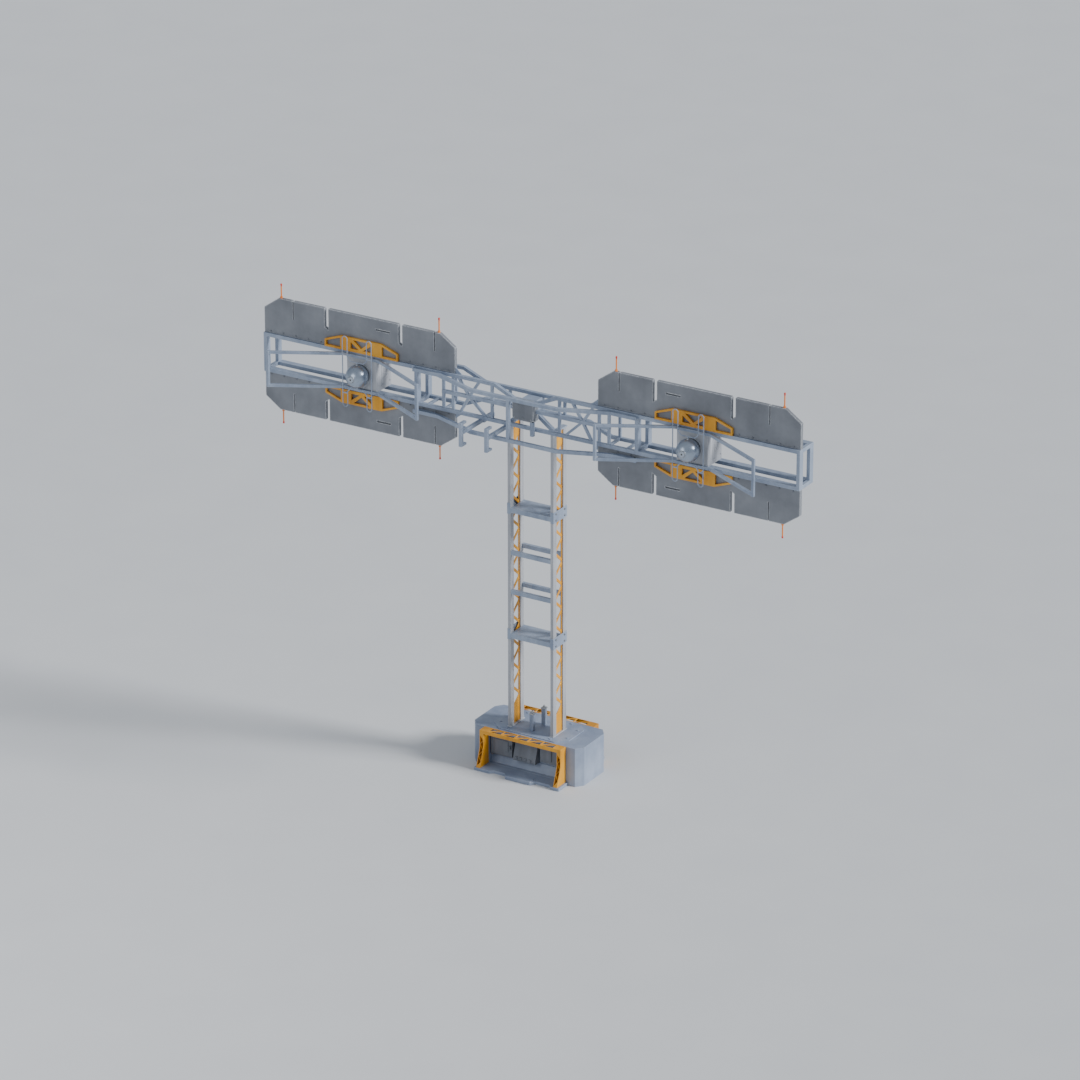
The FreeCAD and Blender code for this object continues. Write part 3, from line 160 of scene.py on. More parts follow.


# %% [markdown]
# ## Sprayed enamel on steel
# Structural steel is sprayed with a satin two-part enamel.  Four things give it away close
# up: slow cloudy variation, faint upright rain streaks, a fine orange-peel bump, and corners
# that rub through to a paler primer.  The cloud and the streaks are one noise each, the
# second squeezed in X and Y.  The rubbed corners come from the Bevel node: it rounds the
# normal near a corner, so where the rounded normal leaves the flat one there is an edge.
# On the signal panels this pale edge band is wider and stronger.  There it is partly wear
# and partly a painted highlight where light would catch the edges.

# %% Enamel
CLOUD_SIZE, EDGE_PATCH_SIZE, PEEL_SIZE = 400 * MM, 35 * MM, 7 * MM
STREAK_WIDE, STREAK_TALL = 60 * MM, 900 * MM
PEEL_HEIGHT = 0.5 * MM
RAMP = (0.33, 0.50, 0.67)
EDGE_STARTS, EDGE_FULL = 0.99, 0.88    # cosines between the flat and the rounded normal
PAINT_DULLER, PAINT_SHINIER = 0.08, 0.06
TIP_LENGTH = 26 * MM


def tip_colour(tree, place, paint, middle, start, colour):
    """Another colour on whatever lies further than start from the height called middle."""
    parts = add(tree, "SeparateXYZ", {0: place})
    above = add(tree, "Math", {0: parts.outputs["Z"], 1: middle}, operation="SUBTRACT")
    reach = add(tree, "Math", {0: above.outputs[0]}, operation="ABSOLUTE")
    beyond = add(tree, "Math", {0: reach.outputs[0], 1: start}, operation="GREATER_THAN")
    mixed = add(tree, "Mix", {0: beyond.outputs[0], 6: paint, 7: linear(colour)},
                data_type="RGBA")
    return mixed.outputs[2]


def enamel(name, colours, edge_wear_and_highlight_colour, roughness=0.45, metallic=0.0, streak=0.35, edge_wear_and_highlight_mm=6.0,
           edge_wear_and_highlight_share=0.8, tip=None):
    """Sprayed enamel: dark, main and light colours, and the colour of a rubbed corner, which on
    the panels is partly a painted highlight.
    """
    material, tree, shader, place = new_material(name)
    cloud = add(tree, "TexNoise", {"Vector": place, "Scale": 1 / CLOUD_SIZE, "Detail": 5.0,
                                   "Roughness": 0.6})
    upright = (1 / STREAK_WIDE, 1 / STREAK_WIDE, 1 / STREAK_TALL)
    long_way = add(tree, "Mapping", {"Vector": place, "Scale": upright})
    rain = add(tree, "TexNoise", {"Vector": long_way.outputs["Vector"], "Scale": 1.0,
                                  "Detail": 4.0, "Roughness": 0.55})
    both = add(tree, "Mix", {0: streak, 2: cloud.outputs["Fac"], 3: rain.outputs["Fac"]})
    coat = add(tree, "ValToRGB", {"Fac": both.outputs[0]})
    band = coat.color_ramp
    band.elements.new(0.5)
    for element, position, hex_text in zip(band.elements, RAMP, colours):
        element.position = position
        element.color = linear(hex_text)
    paint = coat.outputs["Color"]
    if tip:
        paint = tip_colour(tree, place, paint, *tip)
    rounded = add(tree, "Bevel", {"Radius": edge_wear_and_highlight_mm * MM}, samples=4)
    flat = add(tree, "NewGeometry")
    turn = add(tree, "VectorMath", {0: rounded.outputs["Normal"],
                                    1: flat.outputs["Normal"]}, operation="DOT_PRODUCT")
    corner = add(tree, "MapRange", {"Value": turn.outputs["Value"], "From Min": EDGE_STARTS,
                                    "From Max": EDGE_FULL})
    edge_patch_noise = add(tree, "TexNoise", {"Vector": place, "Scale": 1 / EDGE_PATCH_SIZE, "Detail": 6.0,
                                   "Roughness": 0.7})
    patchy = add(tree, "MapRange", {"Value": edge_patch_noise.outputs["Fac"], "From Min": 0.38,
                                    "From Max": 0.56, "To Min": 0.25})
    # On the signal panels this pale edge mask is partly wear and partly a painted highlight where
    # light would catch the edges.
    edge_wear_and_highlight_mask = add(tree, "Math", {0: corner.outputs["Result"], 1: patchy.outputs["Result"]},
               operation="MULTIPLY")
    share = add(tree, "Math", {0: edge_wear_and_highlight_mask.outputs[0], 1: edge_wear_and_highlight_share}, operation="MULTIPLY")
    colour = add(tree, "Mix", {0: share.outputs[0], 6: paint, 7: linear(edge_wear_and_highlight_colour)},
                 data_type="RGBA")
    tree.links.new(colour.outputs[2], shader.inputs["Base Color"])
    shine = add(tree, "MapRange", {"Value": both.outputs[0], "From Min": 0.3, "From Max": 0.7,
                                   "To Min": roughness + PAINT_DULLER,
                                   "To Max": roughness - PAINT_SHINIER})
    tree.links.new(shine.outputs["Result"], shader.inputs["Roughness"])
    shader.inputs["Metallic"].default_value = metallic
    peel = add(tree, "TexNoise", {"Vector": place, "Scale": 1 / PEEL_SIZE, "Detail": 2.0})
    bump = add(tree, "Bump", {"Height": peel.outputs["Fac"], "Strength": 0.15,
                              "Distance": PEEL_HEIGHT})
    tree.links.new(bump.outputs["Normal"], shader.inputs["Normal"])
    return material


# Boom tubes and frames: a fresh blue-grey.
tube_paint = enamel("blue_grey_enamel_on_tube", ("#77849a", "#8f9cb0", "#a3afc1"), "#ccd4de",
                    roughness=0.38, metallic=0.15, edge_wear_and_highlight_mm=5.0)
# Mast posts, lamp boxes and their covers: paler, with more rain streaks.
column_paint = enamel("pale_enamel_on_rolled_post", ("#8f9298", "#a6a9af", "#b9bcc1"), "#d8dbdf",
                      streak=0.6, metallic=0.1)
# The heavy base: thicker and duller paint, rubbed wider at its corners.
plate_paint = enamel("blue_grey_enamel_on_plate", ("#77839a", "#8995aa", "#9aa6b9"), "#bcc5d2",
                     roughness=0.5, edge_wear_and_highlight_mm=7.0, edge_wear_and_highlight_share=0.6, streak=0.2)
# Folded cabinet sheet and panel bolts: darker, with narrow rubbed corners.
sheet_paint = enamel("dark_enamel_on_folded_sheet", ("#555a62", "#676c75", "#797e87"),
                     "#9a9fa6", roughness=0.5, edge_wear_and_highlight_mm=3.0)
# Signal panels: weathered, and their wide pale edges are partly rubbed paint and partly a painted
# highlight where light catches the edges.
panel_paint = enamel("weathered_enamel_and_painted_edge_highlight_on_signal_panel", ("#6c7077", "#797d84", "#868a91"),
                     "#dfe3e8", roughness=0.5, metallic=0.1, streak=0.12, edge_wear_and_highlight_mm=12.0, edge_wear_and_highlight_share=1.0)
# Lattices, portals and trusses: a warning amber.
amber_paint = enamel("amber_enamel_on_lattice", ("#b9790f", "#dd991a", "#e9ab35"), "#f3d693",
                     roughness=0.4, streak=0.3, edge_wear_and_highlight_mm=4.0, edge_wear_and_highlight_share=0.5)
# Aerial rods: orange, with red ends above and below.
aerial_low, aerial_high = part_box("panel_aerials")
aerial_middle = (aerial_low.z + aerial_high.z) / 2
aerial_reach = (aerial_high.z - aerial_low.z) / 2
orange_paint = enamel("orange_enamel_on_rod", ("#c86423", "#e98233", "#f59a4b"), "#f8c795",
                      roughness=0.3, edge_wear_and_highlight_mm=1.5, edge_wear_and_highlight_share=0.3,
                      tip=(aerial_middle, aerial_reach - TIP_LENGTH, "#d23a1f"))
print("enamels:", len(bpy.data.materials))

# %% [markdown]
# ## Bare metals, lacquer and glass
# The lamp shells are spun steel under a clear lacquer, so they mirror the studio softly and
# show faint rings from the spinning tool.  Bolts are zinc plated, the shaft is turned, and
# the bush is cast bronze.  Each is a metal with the default index, and only its colour,
# roughness and grain differ.

# %% Metals and glass
METAL_SHINIER, METAL_DULLER = 0.05, 0.08
GRAIN_HEIGHT, RIPPLE_HEIGHT = 0.4 * MM, 0.3 * MM
RIPPLE_SIZE, MOTTLE_SIZE = 9 * MM, 800 * MM
PUPIL_CLEAR, PUPIL_EDGE = 8 * MM, 11 * MM


def metal(name, colours, roughness, grain_mm, stretch=(1.0, 1.0, 1.0), metallic=1.0):
    """A bare metal whose grain is a noise of a real size, stretched the way it was worked."""
    material, tree, shader, place = new_material(name)
    worked = add(tree, "Mapping", {"Vector": place, "Scale": stretch})
    grain = add(tree, "TexNoise", {"Vector": worked.outputs["Vector"],
                                   "Scale": 1 / (grain_mm * MM), "Detail": 5.0,
                                   "Roughness": 0.6})
    tone = add(tree, "Mix", {0: grain.outputs["Fac"], 6: linear(colours[0]),
                             7: linear(colours[1])}, data_type="RGBA")
    tree.links.new(tone.outputs[2], shader.inputs["Base Color"])
    shine = add(tree, "MapRange", {"Value": grain.outputs["Fac"], "From Min": 0.3,
                                   "From Max": 0.7, "To Min": roughness - METAL_SHINIER,
                                   "To Max": roughness + METAL_DULLER})
    tree.links.new(shine.outputs["Result"], shader.inputs["Roughness"])
    shader.inputs["Metallic"].default_value = metallic
    bump = add(tree, "Bump", {"Height": grain.outputs["Fac"], "Strength": 0.1,
                              "Distance": GRAIN_HEIGHT})
    tree.links.new(bump.outputs["Normal"], shader.inputs["Normal"])
    return material, shader


shell_metal, shell_shader = metal("lacquered_spun_lamp_shell", ("#8d9aab", "#a9b5c4"),
                                  roughness=0.30, grain_mm=40.0, stretch=(1.0, 0.25, 1.0),
                                  metallic=0.8)
shell_shader.inputs["Coat Weight"].default_value = 0.5
shell_shader.inputs["Coat Roughness"].default_value = 0.15
zinc, _ = metal("zinc_plated_bolt", ("#8f9398", "#b4b8bc"), roughness=0.42, grain_mm=12.0)
turned_steel, _ = metal("turned_steel_shaft", ("#8d8f92", "#c0c2c4"), roughness=0.3,
                        grain_mm=8.0, stretch=(1, 10, 1))
bronze, _ = metal("cast_bearing_bronze", ("#8a6432", "#b98a4a"), roughness=0.38, grain_mm=10.0)


def lens_glass():
    """A moulded lens: pale frosted glass round a small dark clear pupil."""
    material, tree, shader, place = new_material("frosted_moulded_lens_glass")
    low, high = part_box("right_lamp_lens")
    parts = add(tree, "SeparateXYZ", {0: place})
    outward = add(tree, "Math", {0: parts.outputs["X"]}, operation="ABSOLUTE")
    across = add(tree, "Math", {0: outward.outputs[0], 1: (low.x + high.x) / 2},
                 operation="SUBTRACT")
    upward = add(tree, "Math", {0: parts.outputs["Z"], 1: (low.z + high.z) / 2},
                 operation="SUBTRACT")
    flat = add(tree, "CombineXYZ", {0: across.outputs[0], 1: upward.outputs[0]})
    reach = add(tree, "VectorMath", {0: flat.outputs[0]}, operation="LENGTH")
    frost = add(tree, "MapRange", {"Value": reach.outputs["Value"], "From Min": PUPIL_CLEAR,
                                   "From Max": PUPIL_EDGE})
    ripple = add(tree, "TexNoise", {"Vector": place, "Scale": 1 / RIPPLE_SIZE, "Detail": 2.0})
    tone = add(tree, "Mix", {0: ripple.outputs["Fac"], 6: linear("#97a3b1"),
                             7: linear("#b3bdc9")}, data_type="RGBA")
    whole = add(tree, "Mix", {0: frost.outputs["Result"], 6: linear("#12161a"),
                              7: tone.outputs[2]}, data_type="RGBA")
    tree.links.new(whole.outputs[2], shader.inputs["Base Color"])
    shader.inputs["Roughness"].default_value = 0.15
    shader.inputs["Coat Weight"].default_value = 1.0
    bump = add(tree, "Bump", {"Height": ripple.outputs["Fac"], "Strength": 0.1,
                              "Distance": RIPPLE_HEIGHT})
    tree.links.new(bump.outputs["Normal"], shader.inputs["Normal"])
    return material


glass = lens_glass()


def studio_floor():
    """A matt pale floor covering with very faint mottling."""
    material, tree, shader, place = new_material("pale_matt_floor")
    mottle = add(tree, "TexNoise", {"Vector": place, "Scale": 1 / MOTTLE_SIZE, "Detail": 3.0})
    tone = add(tree, "Mix", {0: mottle.outputs["Fac"], 6: linear("#cfd1d4"),
                             7: linear("#d6d8da")}, data_type="RGBA")
    tree.links.new(tone.outputs[2], shader.inputs["Base Color"])
    shader.inputs["Roughness"].default_value = 0.9
    return material


floor.data.materials.append(studio_floor())

# %% [markdown]
# ## Paint every steel part, and break its edges
# A sawn or folded edge is never perfectly sharp: a grinder takes a few millimetres off, and
# that narrow round is what catches the light.  Each part keeps its own mesh and gets live
# modifiers: Weld joins its loose triangles, a planar Decimate turns them back into whole
# faces, and Bevel rounds the corners.  Weighted Normal then lets each large face shade flat
# while its narrow rounds shade smoothly.  The openwork skips the Decimate, because one face
# wrapped round a row of triangular holes shades badly.

# %% Finish the steel parts
FINISH = {
    "yellow_paint": amber_paint, "dark_panel_paint": panel_paint, "orange_paint": orange_paint,
    "polished_shell": shell_metal, "lamp_glass": glass, "bronze": bronze,
    "bare_steel": turned_steel, "base_paint": plate_paint, "cabinet_paint": sheet_paint,
    "grey_paint": tube_paint,
}
OWN_FINISH = {"left_column_posts": column_paint, "right_column_posts": column_paint,
              "left_lamp_housing": column_paint, "right_lamp_housing": column_paint,
              "plinth_bolts": plate_paint, "door_hinge_pins": zinc,
              "hub_cover": panel_paint, "hub_gearbox": panel_paint}
ROUND = ("aerials", "ball", "lens", "lamp_guard", "shaft", "bush", "pins")
OPENWORK = ("lattice", "portal", "trusses", "braces")
WELD_GAP = 0.01 * MM
FLAT_WITHIN, CORNER_FROM = math.radians(0.5), math.radians(35)
HEAVY_EDGE, LIGHT_EDGE = 4.0 * MM, 2.5 * MM
slot_of = {part["node"]: part["material_slot"] for part in frame["record"]["subparts"]}


def soften(piece, width, openwork):
    """Round a steel part's corners with live modifiers; its mesh stays as it was."""
    weld = piece.modifiers.new("join_triangles", "WELD")
    weld.merge_threshold = WELD_GAP
    if not openwork:
        planar = piece.modifiers.new("whole_faces", "DECIMATE")
        planar.decimate_type = "DISSOLVE"
        planar.angle_limit = FLAT_WITHIN
    bevel = piece.modifiers.new("broken_edges", "BEVEL")
    bevel.width = width
    bevel.segments = 2
    bevel.limit_method = "ANGLE"
    bevel.angle_limit = CORNER_FROM
    shading = piece.modifiers.new("flat_faces_round_edges", "WEIGHTED_NORMAL")
    shading.weight = 100


for name, piece in nodes.items():
    piece.data.materials.clear()
    piece.data.materials.append(OWN_FINISH.get(name) or FINISH[slot_of[name]])
    if not any(word in name for word in ROUND):
        width = HEAVY_EDGE if "base" in name or "panel" in name else LIGHT_EDGE
        soften(piece, width, openwork=any(word in name for word in OPENWORK))
print("painted", len(nodes), "steel parts")

# %% [markdown]
# ## How the small hardware is made
# Each kind of fitting is modelled once with bmesh operators, standing on the origin and
# looking up.  One function then stamps it at a list of places and turns it to look the right
# way, so a row of bolts is one piece with one name.

# %% Making and placing small parts
TOP_SHARE = 0.95


def round_top(shape, top, width, segments=2):
    """Round the edges that lie wholly at the top of a shape."""
    at_top = top * TOP_SHARE
    edges = [edge for edge in shape.edges if all(end.co.z > at_top for end in edge.verts)]
    bmesh.ops.bevel(shape, geom=edges, offset=width, segments=segments, profile=0.5,
                    affect="EDGES", material=-1)


def add_cone(shape, foot, top, tall, middle, sides):
    """Add a capped cone; foot and top are its radii, middle is the height of its centre."""
    bmesh.ops.create_cone(shape, cap_ends=True, segments=sides, radius1=foot, radius2=top,
                          depth=tall, matrix=Matrix.Translation((0, 0, middle)))


def sharp_block(size_x, size_y, size_z):
    """A block that stands on the ground."""
    shape = bmesh.new()
    bmesh.ops.create_cube(shape, size=1.0, matrix=Matrix.Translation((0, 0, size_z / 2))
                          @ Matrix.Diagonal((size_x, size_y, size_z, 1)))
    return shape


def block(size_x, size_y, size_z, round_by):
    """A block on the ground with its upper edges rounded."""
    shape = sharp_block(size_x, size_y, size_z)
    round_top(shape, size_z, round_by)
    return shape


def bolt_head(radius, height):
    """A hexagon head with a rounded top on a thin washer."""
    washer_tall, head_tall, head_middle = height * 0.25, height * 0.75, height * 0.625
    washer_foot, washer_top, crown = radius * 1.3, radius * 1.25, radius * 0.18
    shape = bmesh.new()
    add_cone(shape, washer_foot, washer_top, washer_tall, washer_tall / 2, sides=18)
    add_cone(shape, radius, radius, head_tall, head_middle, sides=6)
    round_top(shape, height, crown)
    return shape


def louvre(length, width, rise):
    """A pressed vent louvre: a low hood that opens along one long side."""
    slope, lip = rise * 0.75, rise * 0.45
    shape = sharp_block(length, width, rise)
    crest = [vert for vert in shape.verts if vert.co.z > rise / 2 and vert.co.y > 0]
    bmesh.ops.translate(shape, verts=crest, vec=(0, 0, -slope))
    round_top(shape, rise, lip, segments=3)
    return shape


def copies(part, matrices):
    """One shape made of copies of a small part, each moved by its own matrix."""
    template = bpy.data.meshes.new("template")
    part.to_mesh(template)
    part.free()
    shape = bmesh.new()
    for matrix in matrices:
        before = len(shape.verts)
        shape.from_mesh(template)
        shape.verts.ensure_lookup_table()
        bmesh.ops.transform(shape, matrix=matrix, verts=shape.verts[before:])
    bpy.data.meshes.remove(template)
    return shape


def finished(name, shape, material, body, smooth=False):
    """Turn a bmesh into a painted piece that rides on a body."""
    bmesh.ops.recalc_face_normals(shape, faces=shape.faces)
    mesh = bpy.data.meshes.new(name)
    shape.to_mesh(mesh)
    shape.free()
    for face in mesh.polygons:
        face.use_smooth = smooth
    mesh.materials.append(material)
    piece = bpy.data.objects.new(name, mesh)
    bpy.context.scene.collection.objects.link(piece)
    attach(piece, body)


def stamp(name, part, places, material, body):
    """One piece made of the same small part at several (point, look direction, up) places."""
    matrices = []
    for point, look, up in places:
        axis_z = Vector(look).normalized()
        axis_y = Vector(up).normalized()
        turn = Matrix((axis_y.cross(axis_z), axis_y, axis_z)).transposed().to_4x4()
        matrices.append(Matrix.Translation(point) @ turn)
    finished(name, copies(part, matrices), material, body)


LEFT, RIGHT, FRONT, BACK = (-1, 0, 0), (1, 0, 0), (0, -1, 0), (0, 1, 0)
UP, DOWN = (0, 0, 1), (0, 0, -1)
SIDES = {"left": -1, "right": 1}

# %% [markdown]
# ## Lamp trim
# Each lamp is a ball with a small eye.  On the real one a turned ring holds the eye's glass
# and two collars carry the pins that the ball pans on.  The ring is a small circle spun about
# the eye's axis, and a collar is a short cone with a rounded top.

# %% Eye rings and pan collars
RING_THICK, RING_SEAT = 5 * MM, 6 * MM
COLLAR_FOOT, COLLAR_TOP, COLLAR_TALL = 15 * MM, 11 * MM, 12 * MM
COLLAR_SUNK, COLLAR_ROUND = 2 * MM, 2 * MM


def ring(middle, radius, thick):
    """A round-section ring that looks to the front."""
    shape = bmesh.new()
    bmesh.ops.create_circle(shape, segments=12, radius=thick,
                            matrix=Matrix.Translation(middle + Vector((radius, 0, 0))))
    bmesh.ops.spin(shape, geom=shape.edges[:], cent=middle, axis=BACK, angle=2 * math.pi,
                   steps=48, use_merge=True)
    return shape


spine_low, spine_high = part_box("boom_spine")
pivot_height = (spine_low.z + spine_high.z) / 2
for side in SIDES:
    eye_low, eye_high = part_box(f"{side}_lamp_lens")
    ball_low, ball_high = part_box(f"{side}_lamp_ball")
    eye_radius = (eye_high.x - eye_low.x) / 2
    ball_radius = (ball_high.x - ball_low.x) / 2
    middle = (ball_low + ball_high) / 2
    reach = math.sqrt(ball_radius ** 2 - (eye_radius + RING_SEAT) ** 2)
    eye = Vector((middle.x, middle.y - reach, middle.z))
    finished(f"{side}_eye_ring", ring(eye, eye_radius + RING_THICK, RING_THICK), zinc,
             f"{side}_lamp", smooth=True)
    collar = bmesh.new()
    add_cone(collar, COLLAR_FOOT, COLLAR_TOP, COLLAR_TALL, COLLAR_TALL / 2, sides=24)
    round_top(collar, COLLAR_TALL, COLLAR_ROUND)
    pole = Vector((0, 0, ball_radius - COLLAR_SUNK))
    stamp(f"{side}_pan_collars", collar, [(middle + pole, UP, BACK), (middle - pole, DOWN, BACK)],
          zinc, f"{side}_lamp")
print("eye radius", round(eye_radius / MM), "mm, ball radius", round(ball_radius / MM), "mm")

# %% [markdown]
# ## Drive box covers
# Behind each lamp a drive box hangs between the rails.  A fitter reaches the drive through a
# plate on each side, which is pressed with louvres and held by four screws.

# %% Covers, louvres and screws
COVER_WIDE, COVER_TALL, COVER_THICK = 0.78, 250 * MM, 4 * MM    # width as a share of the box
VENT_WIDE, VENT_ROWS, VENT_PITCH = 0.5, 5, 26 * MM              # width as a share of the box
SCREW_OUT, SCREW_RISE = 0.33, 105 * MM                          # out as a share of the box

cover_places, louvre_places, screw_places = [], [], []
for side in SIDES:
    low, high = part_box(f"{side}_lamp_housing")
    face_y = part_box(f"{side}_arm_front_frame")[1].y
    deep = high.y - face_y
    middle = Vector((0, (face_y + high.y) / 2, pivot_height))
    for x, look in ((low.x, LEFT), (high.x, RIGHT)):
        at = Vector((x, middle.y, middle.z))
        proud = look[0] * COVER_THICK
        cover_places.append((at, look, UP))
        for row in range(VENT_ROWS):
            rise = (row - (VENT_ROWS - 1) / 2) * VENT_PITCH
            louvre_places.append((at + Vector((proud, 0, rise)), look, UP))
        for y in (-1, 1):
            for z in (-1, 1):
                offset = Vector((proud, y * deep * SCREW_OUT, z * SCREW_RISE))
                screw_places.append((at + offset, look, UP))
cover = block(deep * COVER_WIDE, COVER_TALL, COVER_THICK, round_by=1.5 * MM)
vent = louvre(length=deep * VENT_WIDE, width=14 * MM, rise=7 * MM)
screw = bolt_head(radius=5.5 * MM, height=5 * MM)
stamp("drive_box_covers", cover, cover_places, column_paint, "boom")
stamp("drive_box_louvres", vent, louvre_places, column_paint, "boom")
stamp("drive_box_screws", screw, screw_places, zinc, "boom")
print("drive box is", round(deep / MM), "mm deep behind the front rails")

# %% [markdown]
# ## Panel stiffeners, corner gussets and fixings
# The signal panels are thin trays, so folded channels are riveted upright across their
# backs, and a small plate ties each panel's inner corner to the boom.  A row of bolts along
# the rail holds the panel, except where the lamp truss is in the way.

# %% Panel hardware
RIB_SHARES = (0.06, 0.20, 0.42, 0.58, 0.80, 0.94)    # along the panel, from its left end
RIB_WIDE, RIB_TALL, RIB_THICK, RIB_FROM_RAIL = 34 * MM, 190 * MM, 22 * MM, 115 * MM
PANEL_BOLTS, BOLT_FROM_RAIL, TRUSS_CLEAR = 15, 20 * MM, 30 * MM
GUSSET_LONG, GUSSET_RISE, GUSSET_THICK, GUSSET_BEHIND = 70 * MM, 60 * MM, 10 * MM, 18 * MM

rib_places, bolt_places = [], []
for side in SIDES:
    truss_low, truss_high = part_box(f"{side}_arm_trusses")
    for level, mark in (("upper", 1), ("lower", -1)):
        low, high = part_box(f"{side}_{level}_panel")
        rail_z = low.z if mark > 0 else high.z
        span = high.x - low.x
        for share in RIB_SHARES:
            x = low.x + span * share
            rib_places.append((Vector((x, high.y, rail_z + mark * RIB_FROM_RAIL)), BACK, UP))
        for number in range(PANEL_BOLTS):
            x = low.x + span * (number + 0.5) / PANEL_BOLTS
            if not truss_low.x - TRUSS_CLEAR < x < truss_high.x + TRUSS_CLEAR:
                at = Vector((x, low.y, rail_z + mark * BOLT_FROM_RAIL))
                bolt_places.append((at, FRONT, UP))
        panel_tall = high.z - low.z
rib = block(RIB_WIDE, RIB_TALL, RIB_THICK, round_by=6 * MM)
panel_bolt = bolt_head(radius=8 * MM, height=7 * MM)
stamp("panel_stiffeners", rib, rib_places, panel_paint, "boom")
stamp("panel_bolts", panel_bolt, bolt_places, sheet_paint, "boom")


def corner_gusset(length, rise, thick):
    """A triangular plate with its long edge on the ground line, looking up."""
    shape = bmesh.new()
    corners = [shape.verts.new(at) for at in ((0, 0, 0), (length, 0, 0), (length, rise, 0))]
    face = shape.faces.new(corners)
    grown = bmesh.ops.extrude_face_region(shape, geom=[face])
    lifted = [item for item in grown["geom"] if isinstance(item, bmesh.types.BMVert)]
    bmesh.ops.translate(shape, verts=lifted, vec=(0, 0, thick))
    return shape


gusset_matrices = []
chord_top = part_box("boom_front_top_chord")[1].z
for side, sign in SIDES.items():
    panel_low, panel_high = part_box(f"{side}_upper_panel")
    inner = panel_low.x if sign > 0 else panel_high.x
    for mark in (1, -1):
        rail = pivot_height + mark * (chord_top - pivot_height)
        place = Matrix.Translation((inner - sign * GUSSET_LONG, panel_low.y + GUSSET_BEHIND, rail))
        turn = Matrix.Diagonal((sign, 1, mark, 1)) @ Matrix.Rotation(math.pi / 2, 4, "X")
        gusset_matrices.append(place @ turn)
gussets = copies(corner_gusset(GUSSET_LONG, GUSSET_RISE, GUSSET_THICK), gusset_matrices)
finished("panel_corner_gussets", gussets, tube_paint, "boom")
print("panel", round(panel_tall / MM), "mm tall,", len(bolt_places), "panel bolts")

# %% [markdown]
# ## Mast fittings
# The shelves are clamped round the columns by bands with two bolts a side, and every post
# is welded down to the plinth with a bead round its foot.  The hub cover has six screws, and
# the two cable risers end in sealed caps with a gland.

# %% Band bolts, foot beads, hub screws and riser caps
BAND_INSET_Y, BAND_INSET_Z, HUB_INSET = 45 * MM, 25 * MM, 24 * MM
BEAD_GROWS, BEAD_TALL = 14 * MM, 8 * MM
RISER_HALF, CAP_GROWS, CAP_TALL = 20 * MM, 8 * MM, 14 * MM
GLAND_FOOT, GLAND_TOP, GLAND_TALL, GLAND_MIDDLE = 13 * MM, 8 * MM, 22 * MM, 24 * MM

band_places = []
for shelf in ("upper_shelf", "lower_shelf"):
    low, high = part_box(shelf)
    for x, look in ((low.x, LEFT), (high.x, RIGHT)):
        for y in (low.y + BAND_INSET_Y, high.y - BAND_INSET_Y):
            for z in (low.z + BAND_INSET_Z, high.z - BAND_INSET_Z):
                band_places.append((Vector((x, y, z)), look, UP))
band_bolt = bolt_head(radius=9 * MM, height=8 * MM)
stamp("band_bolts", band_bolt, band_places, zinc, "base")

bead_places = []
for side in SIDES:
    low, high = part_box(f"{side}_column_posts")
    foot = Vector(((low.x + high.x) / 2, (low.y + high.y) / 2, low.z))
    bead_places.append((foot, UP, BACK))
bead = block(high.x - low.x + BEAD_GROWS, high.y - low.y + BEAD_GROWS, BEAD_TALL,
             round_by=5 * MM)
stamp("foot_weld_beads", bead, bead_places, column_paint, "base")

low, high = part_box("hub_cover")
hub_places = [(Vector((x, low.y, z)), FRONT, UP)
              for x in (low.x + HUB_INSET, 0.0, high.x - HUB_INSET)
              for z in (low.z + HUB_INSET, high.z - HUB_INSET)]
hub_screw = bolt_head(radius=7 * MM, height=6 * MM)
stamp("hub_screws", hub_screw, hub_places, zinc, "boom")

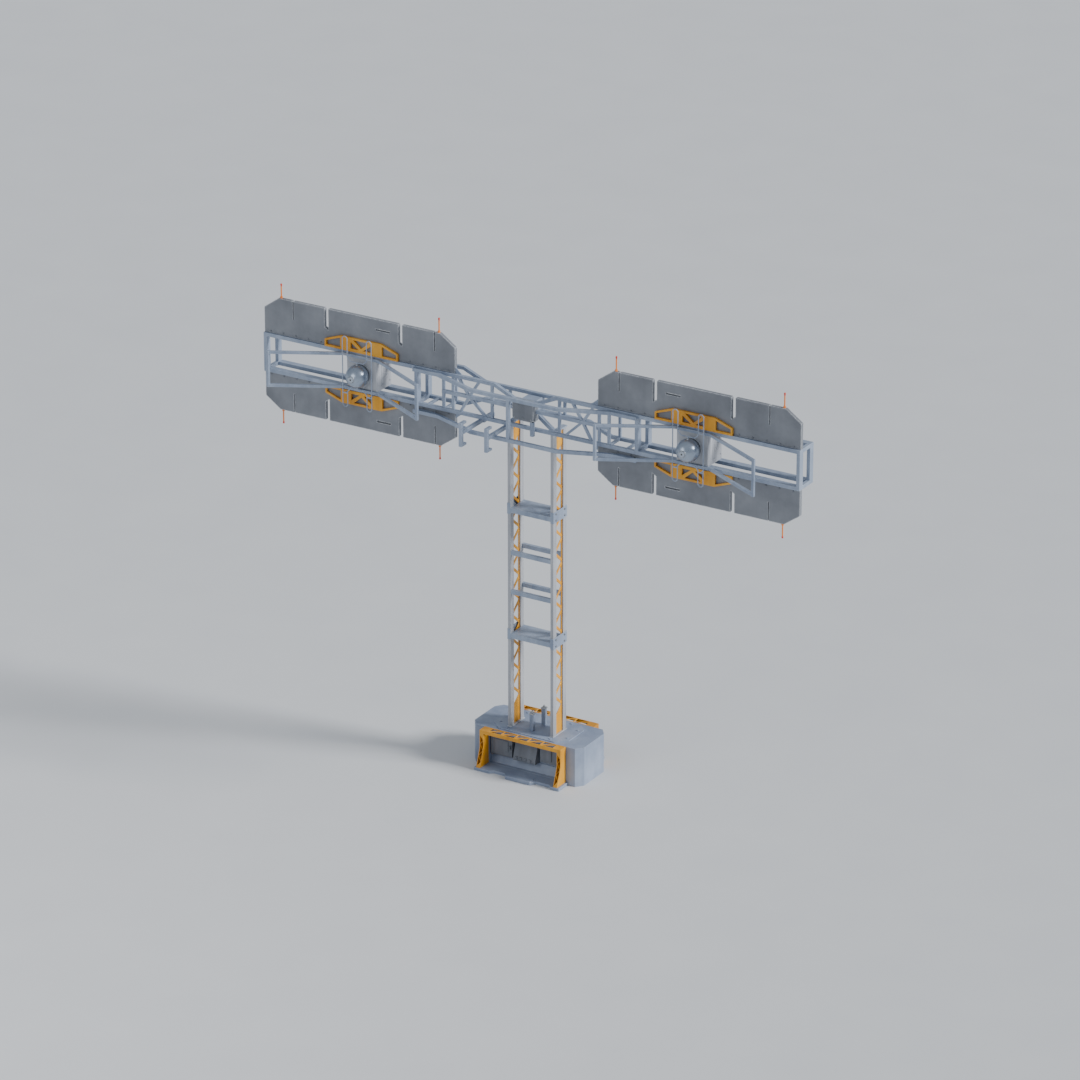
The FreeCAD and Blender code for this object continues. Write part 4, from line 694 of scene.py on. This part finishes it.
low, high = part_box("cable_risers")
cap_places = [(Vector((x, y, high.z)), UP, BACK)
              for x, y in ((low.x + RISER_HALF, low.y + RISER_HALF),
                           (high.x - RISER_HALF, high.y - RISER_HALF))]
cap_width = 2 * RISER_HALF + CAP_GROWS
cap = block(cap_width, cap_width, CAP_TALL, round_by=5 * MM)
stamp("riser_caps", cap, cap_places, zinc, "base")
gland = bmesh.new()
add_cone(gland, GLAND_FOOT, GLAND_TOP, GLAND_TALL, GLAND_MIDDLE, sides=24)
round_top(gland, GLAND_MIDDLE + GLAND_TALL / 2, width=2 * MM)
stamp("riser_glands", gland, cap_places, zinc, "base")
print(len(band_places), "band bolts,", len(hub_places), "hub screws")

# %% [markdown]
# ## Equipment bay details
# The cabinet doors are pressed with louvres.  These sit on the leaf itself, which lies behind
# the grip that stands furthest out.  The short conduits run up from the junction box into
# the block.

# %% Door louvres and conduits
GRIP_PROUD = 18 * MM
DOOR_ROWS, FIRST_ROW_MM, ROW_PITCH_MM = 3, 14, 10            # measured down from the door's top
CONDUITS, FIRST_CONDUIT_MM, CONDUIT_PITCH_MM = 4, 35, 50     # measured from the box's left end
CONDUIT_RADIUS, NUT_RADIUS, NUT_TALL, INTO_BLOCK = 11 * MM, 17 * MM, 10 * MM, 30 * MM

for side, look in (("front", FRONT), ("back", BACK)):
    low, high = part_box(f"{side}_cabinet_door")
    leaf_y = low.y + GRIP_PROUD if side == "front" else high.y - GRIP_PROUD
    middle_x = (low.x + high.x) / 2
    rows = [(Vector((middle_x, leaf_y, high.z - (FIRST_ROW_MM + ROW_PITCH_MM * row) * MM)), look,
             UP) for row in range(DOOR_ROWS)]
    door_louvre = louvre(length=120 * MM, width=8 * MM, rise=5 * MM)
    stamp(f"{side}_door_louvres", door_louvre, rows, sheet_paint, f"{side}_door")

low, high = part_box("front_junction_box")
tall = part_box("front_vent_hood")[1].z + INTO_BLOCK - high.z
middle_y = (low.y + high.y) / 2
conduit = bmesh.new()
add_cone(conduit, CONDUIT_RADIUS, CONDUIT_RADIUS, tall, tall / 2, sides=20)
add_cone(conduit, NUT_RADIUS, NUT_RADIUS, NUT_TALL, NUT_TALL / 2, sides=6)
conduit_places = [
    (Vector((low.x + (FIRST_CONDUIT_MM + CONDUIT_PITCH_MM * number) * MM, middle_y, high.z)), UP,
     BACK) for number in range(CONDUITS)]
stamp("junction_conduits", conduit, conduit_places, zinc, "base")
print("bay conduits", round(tall / MM), "mm tall")
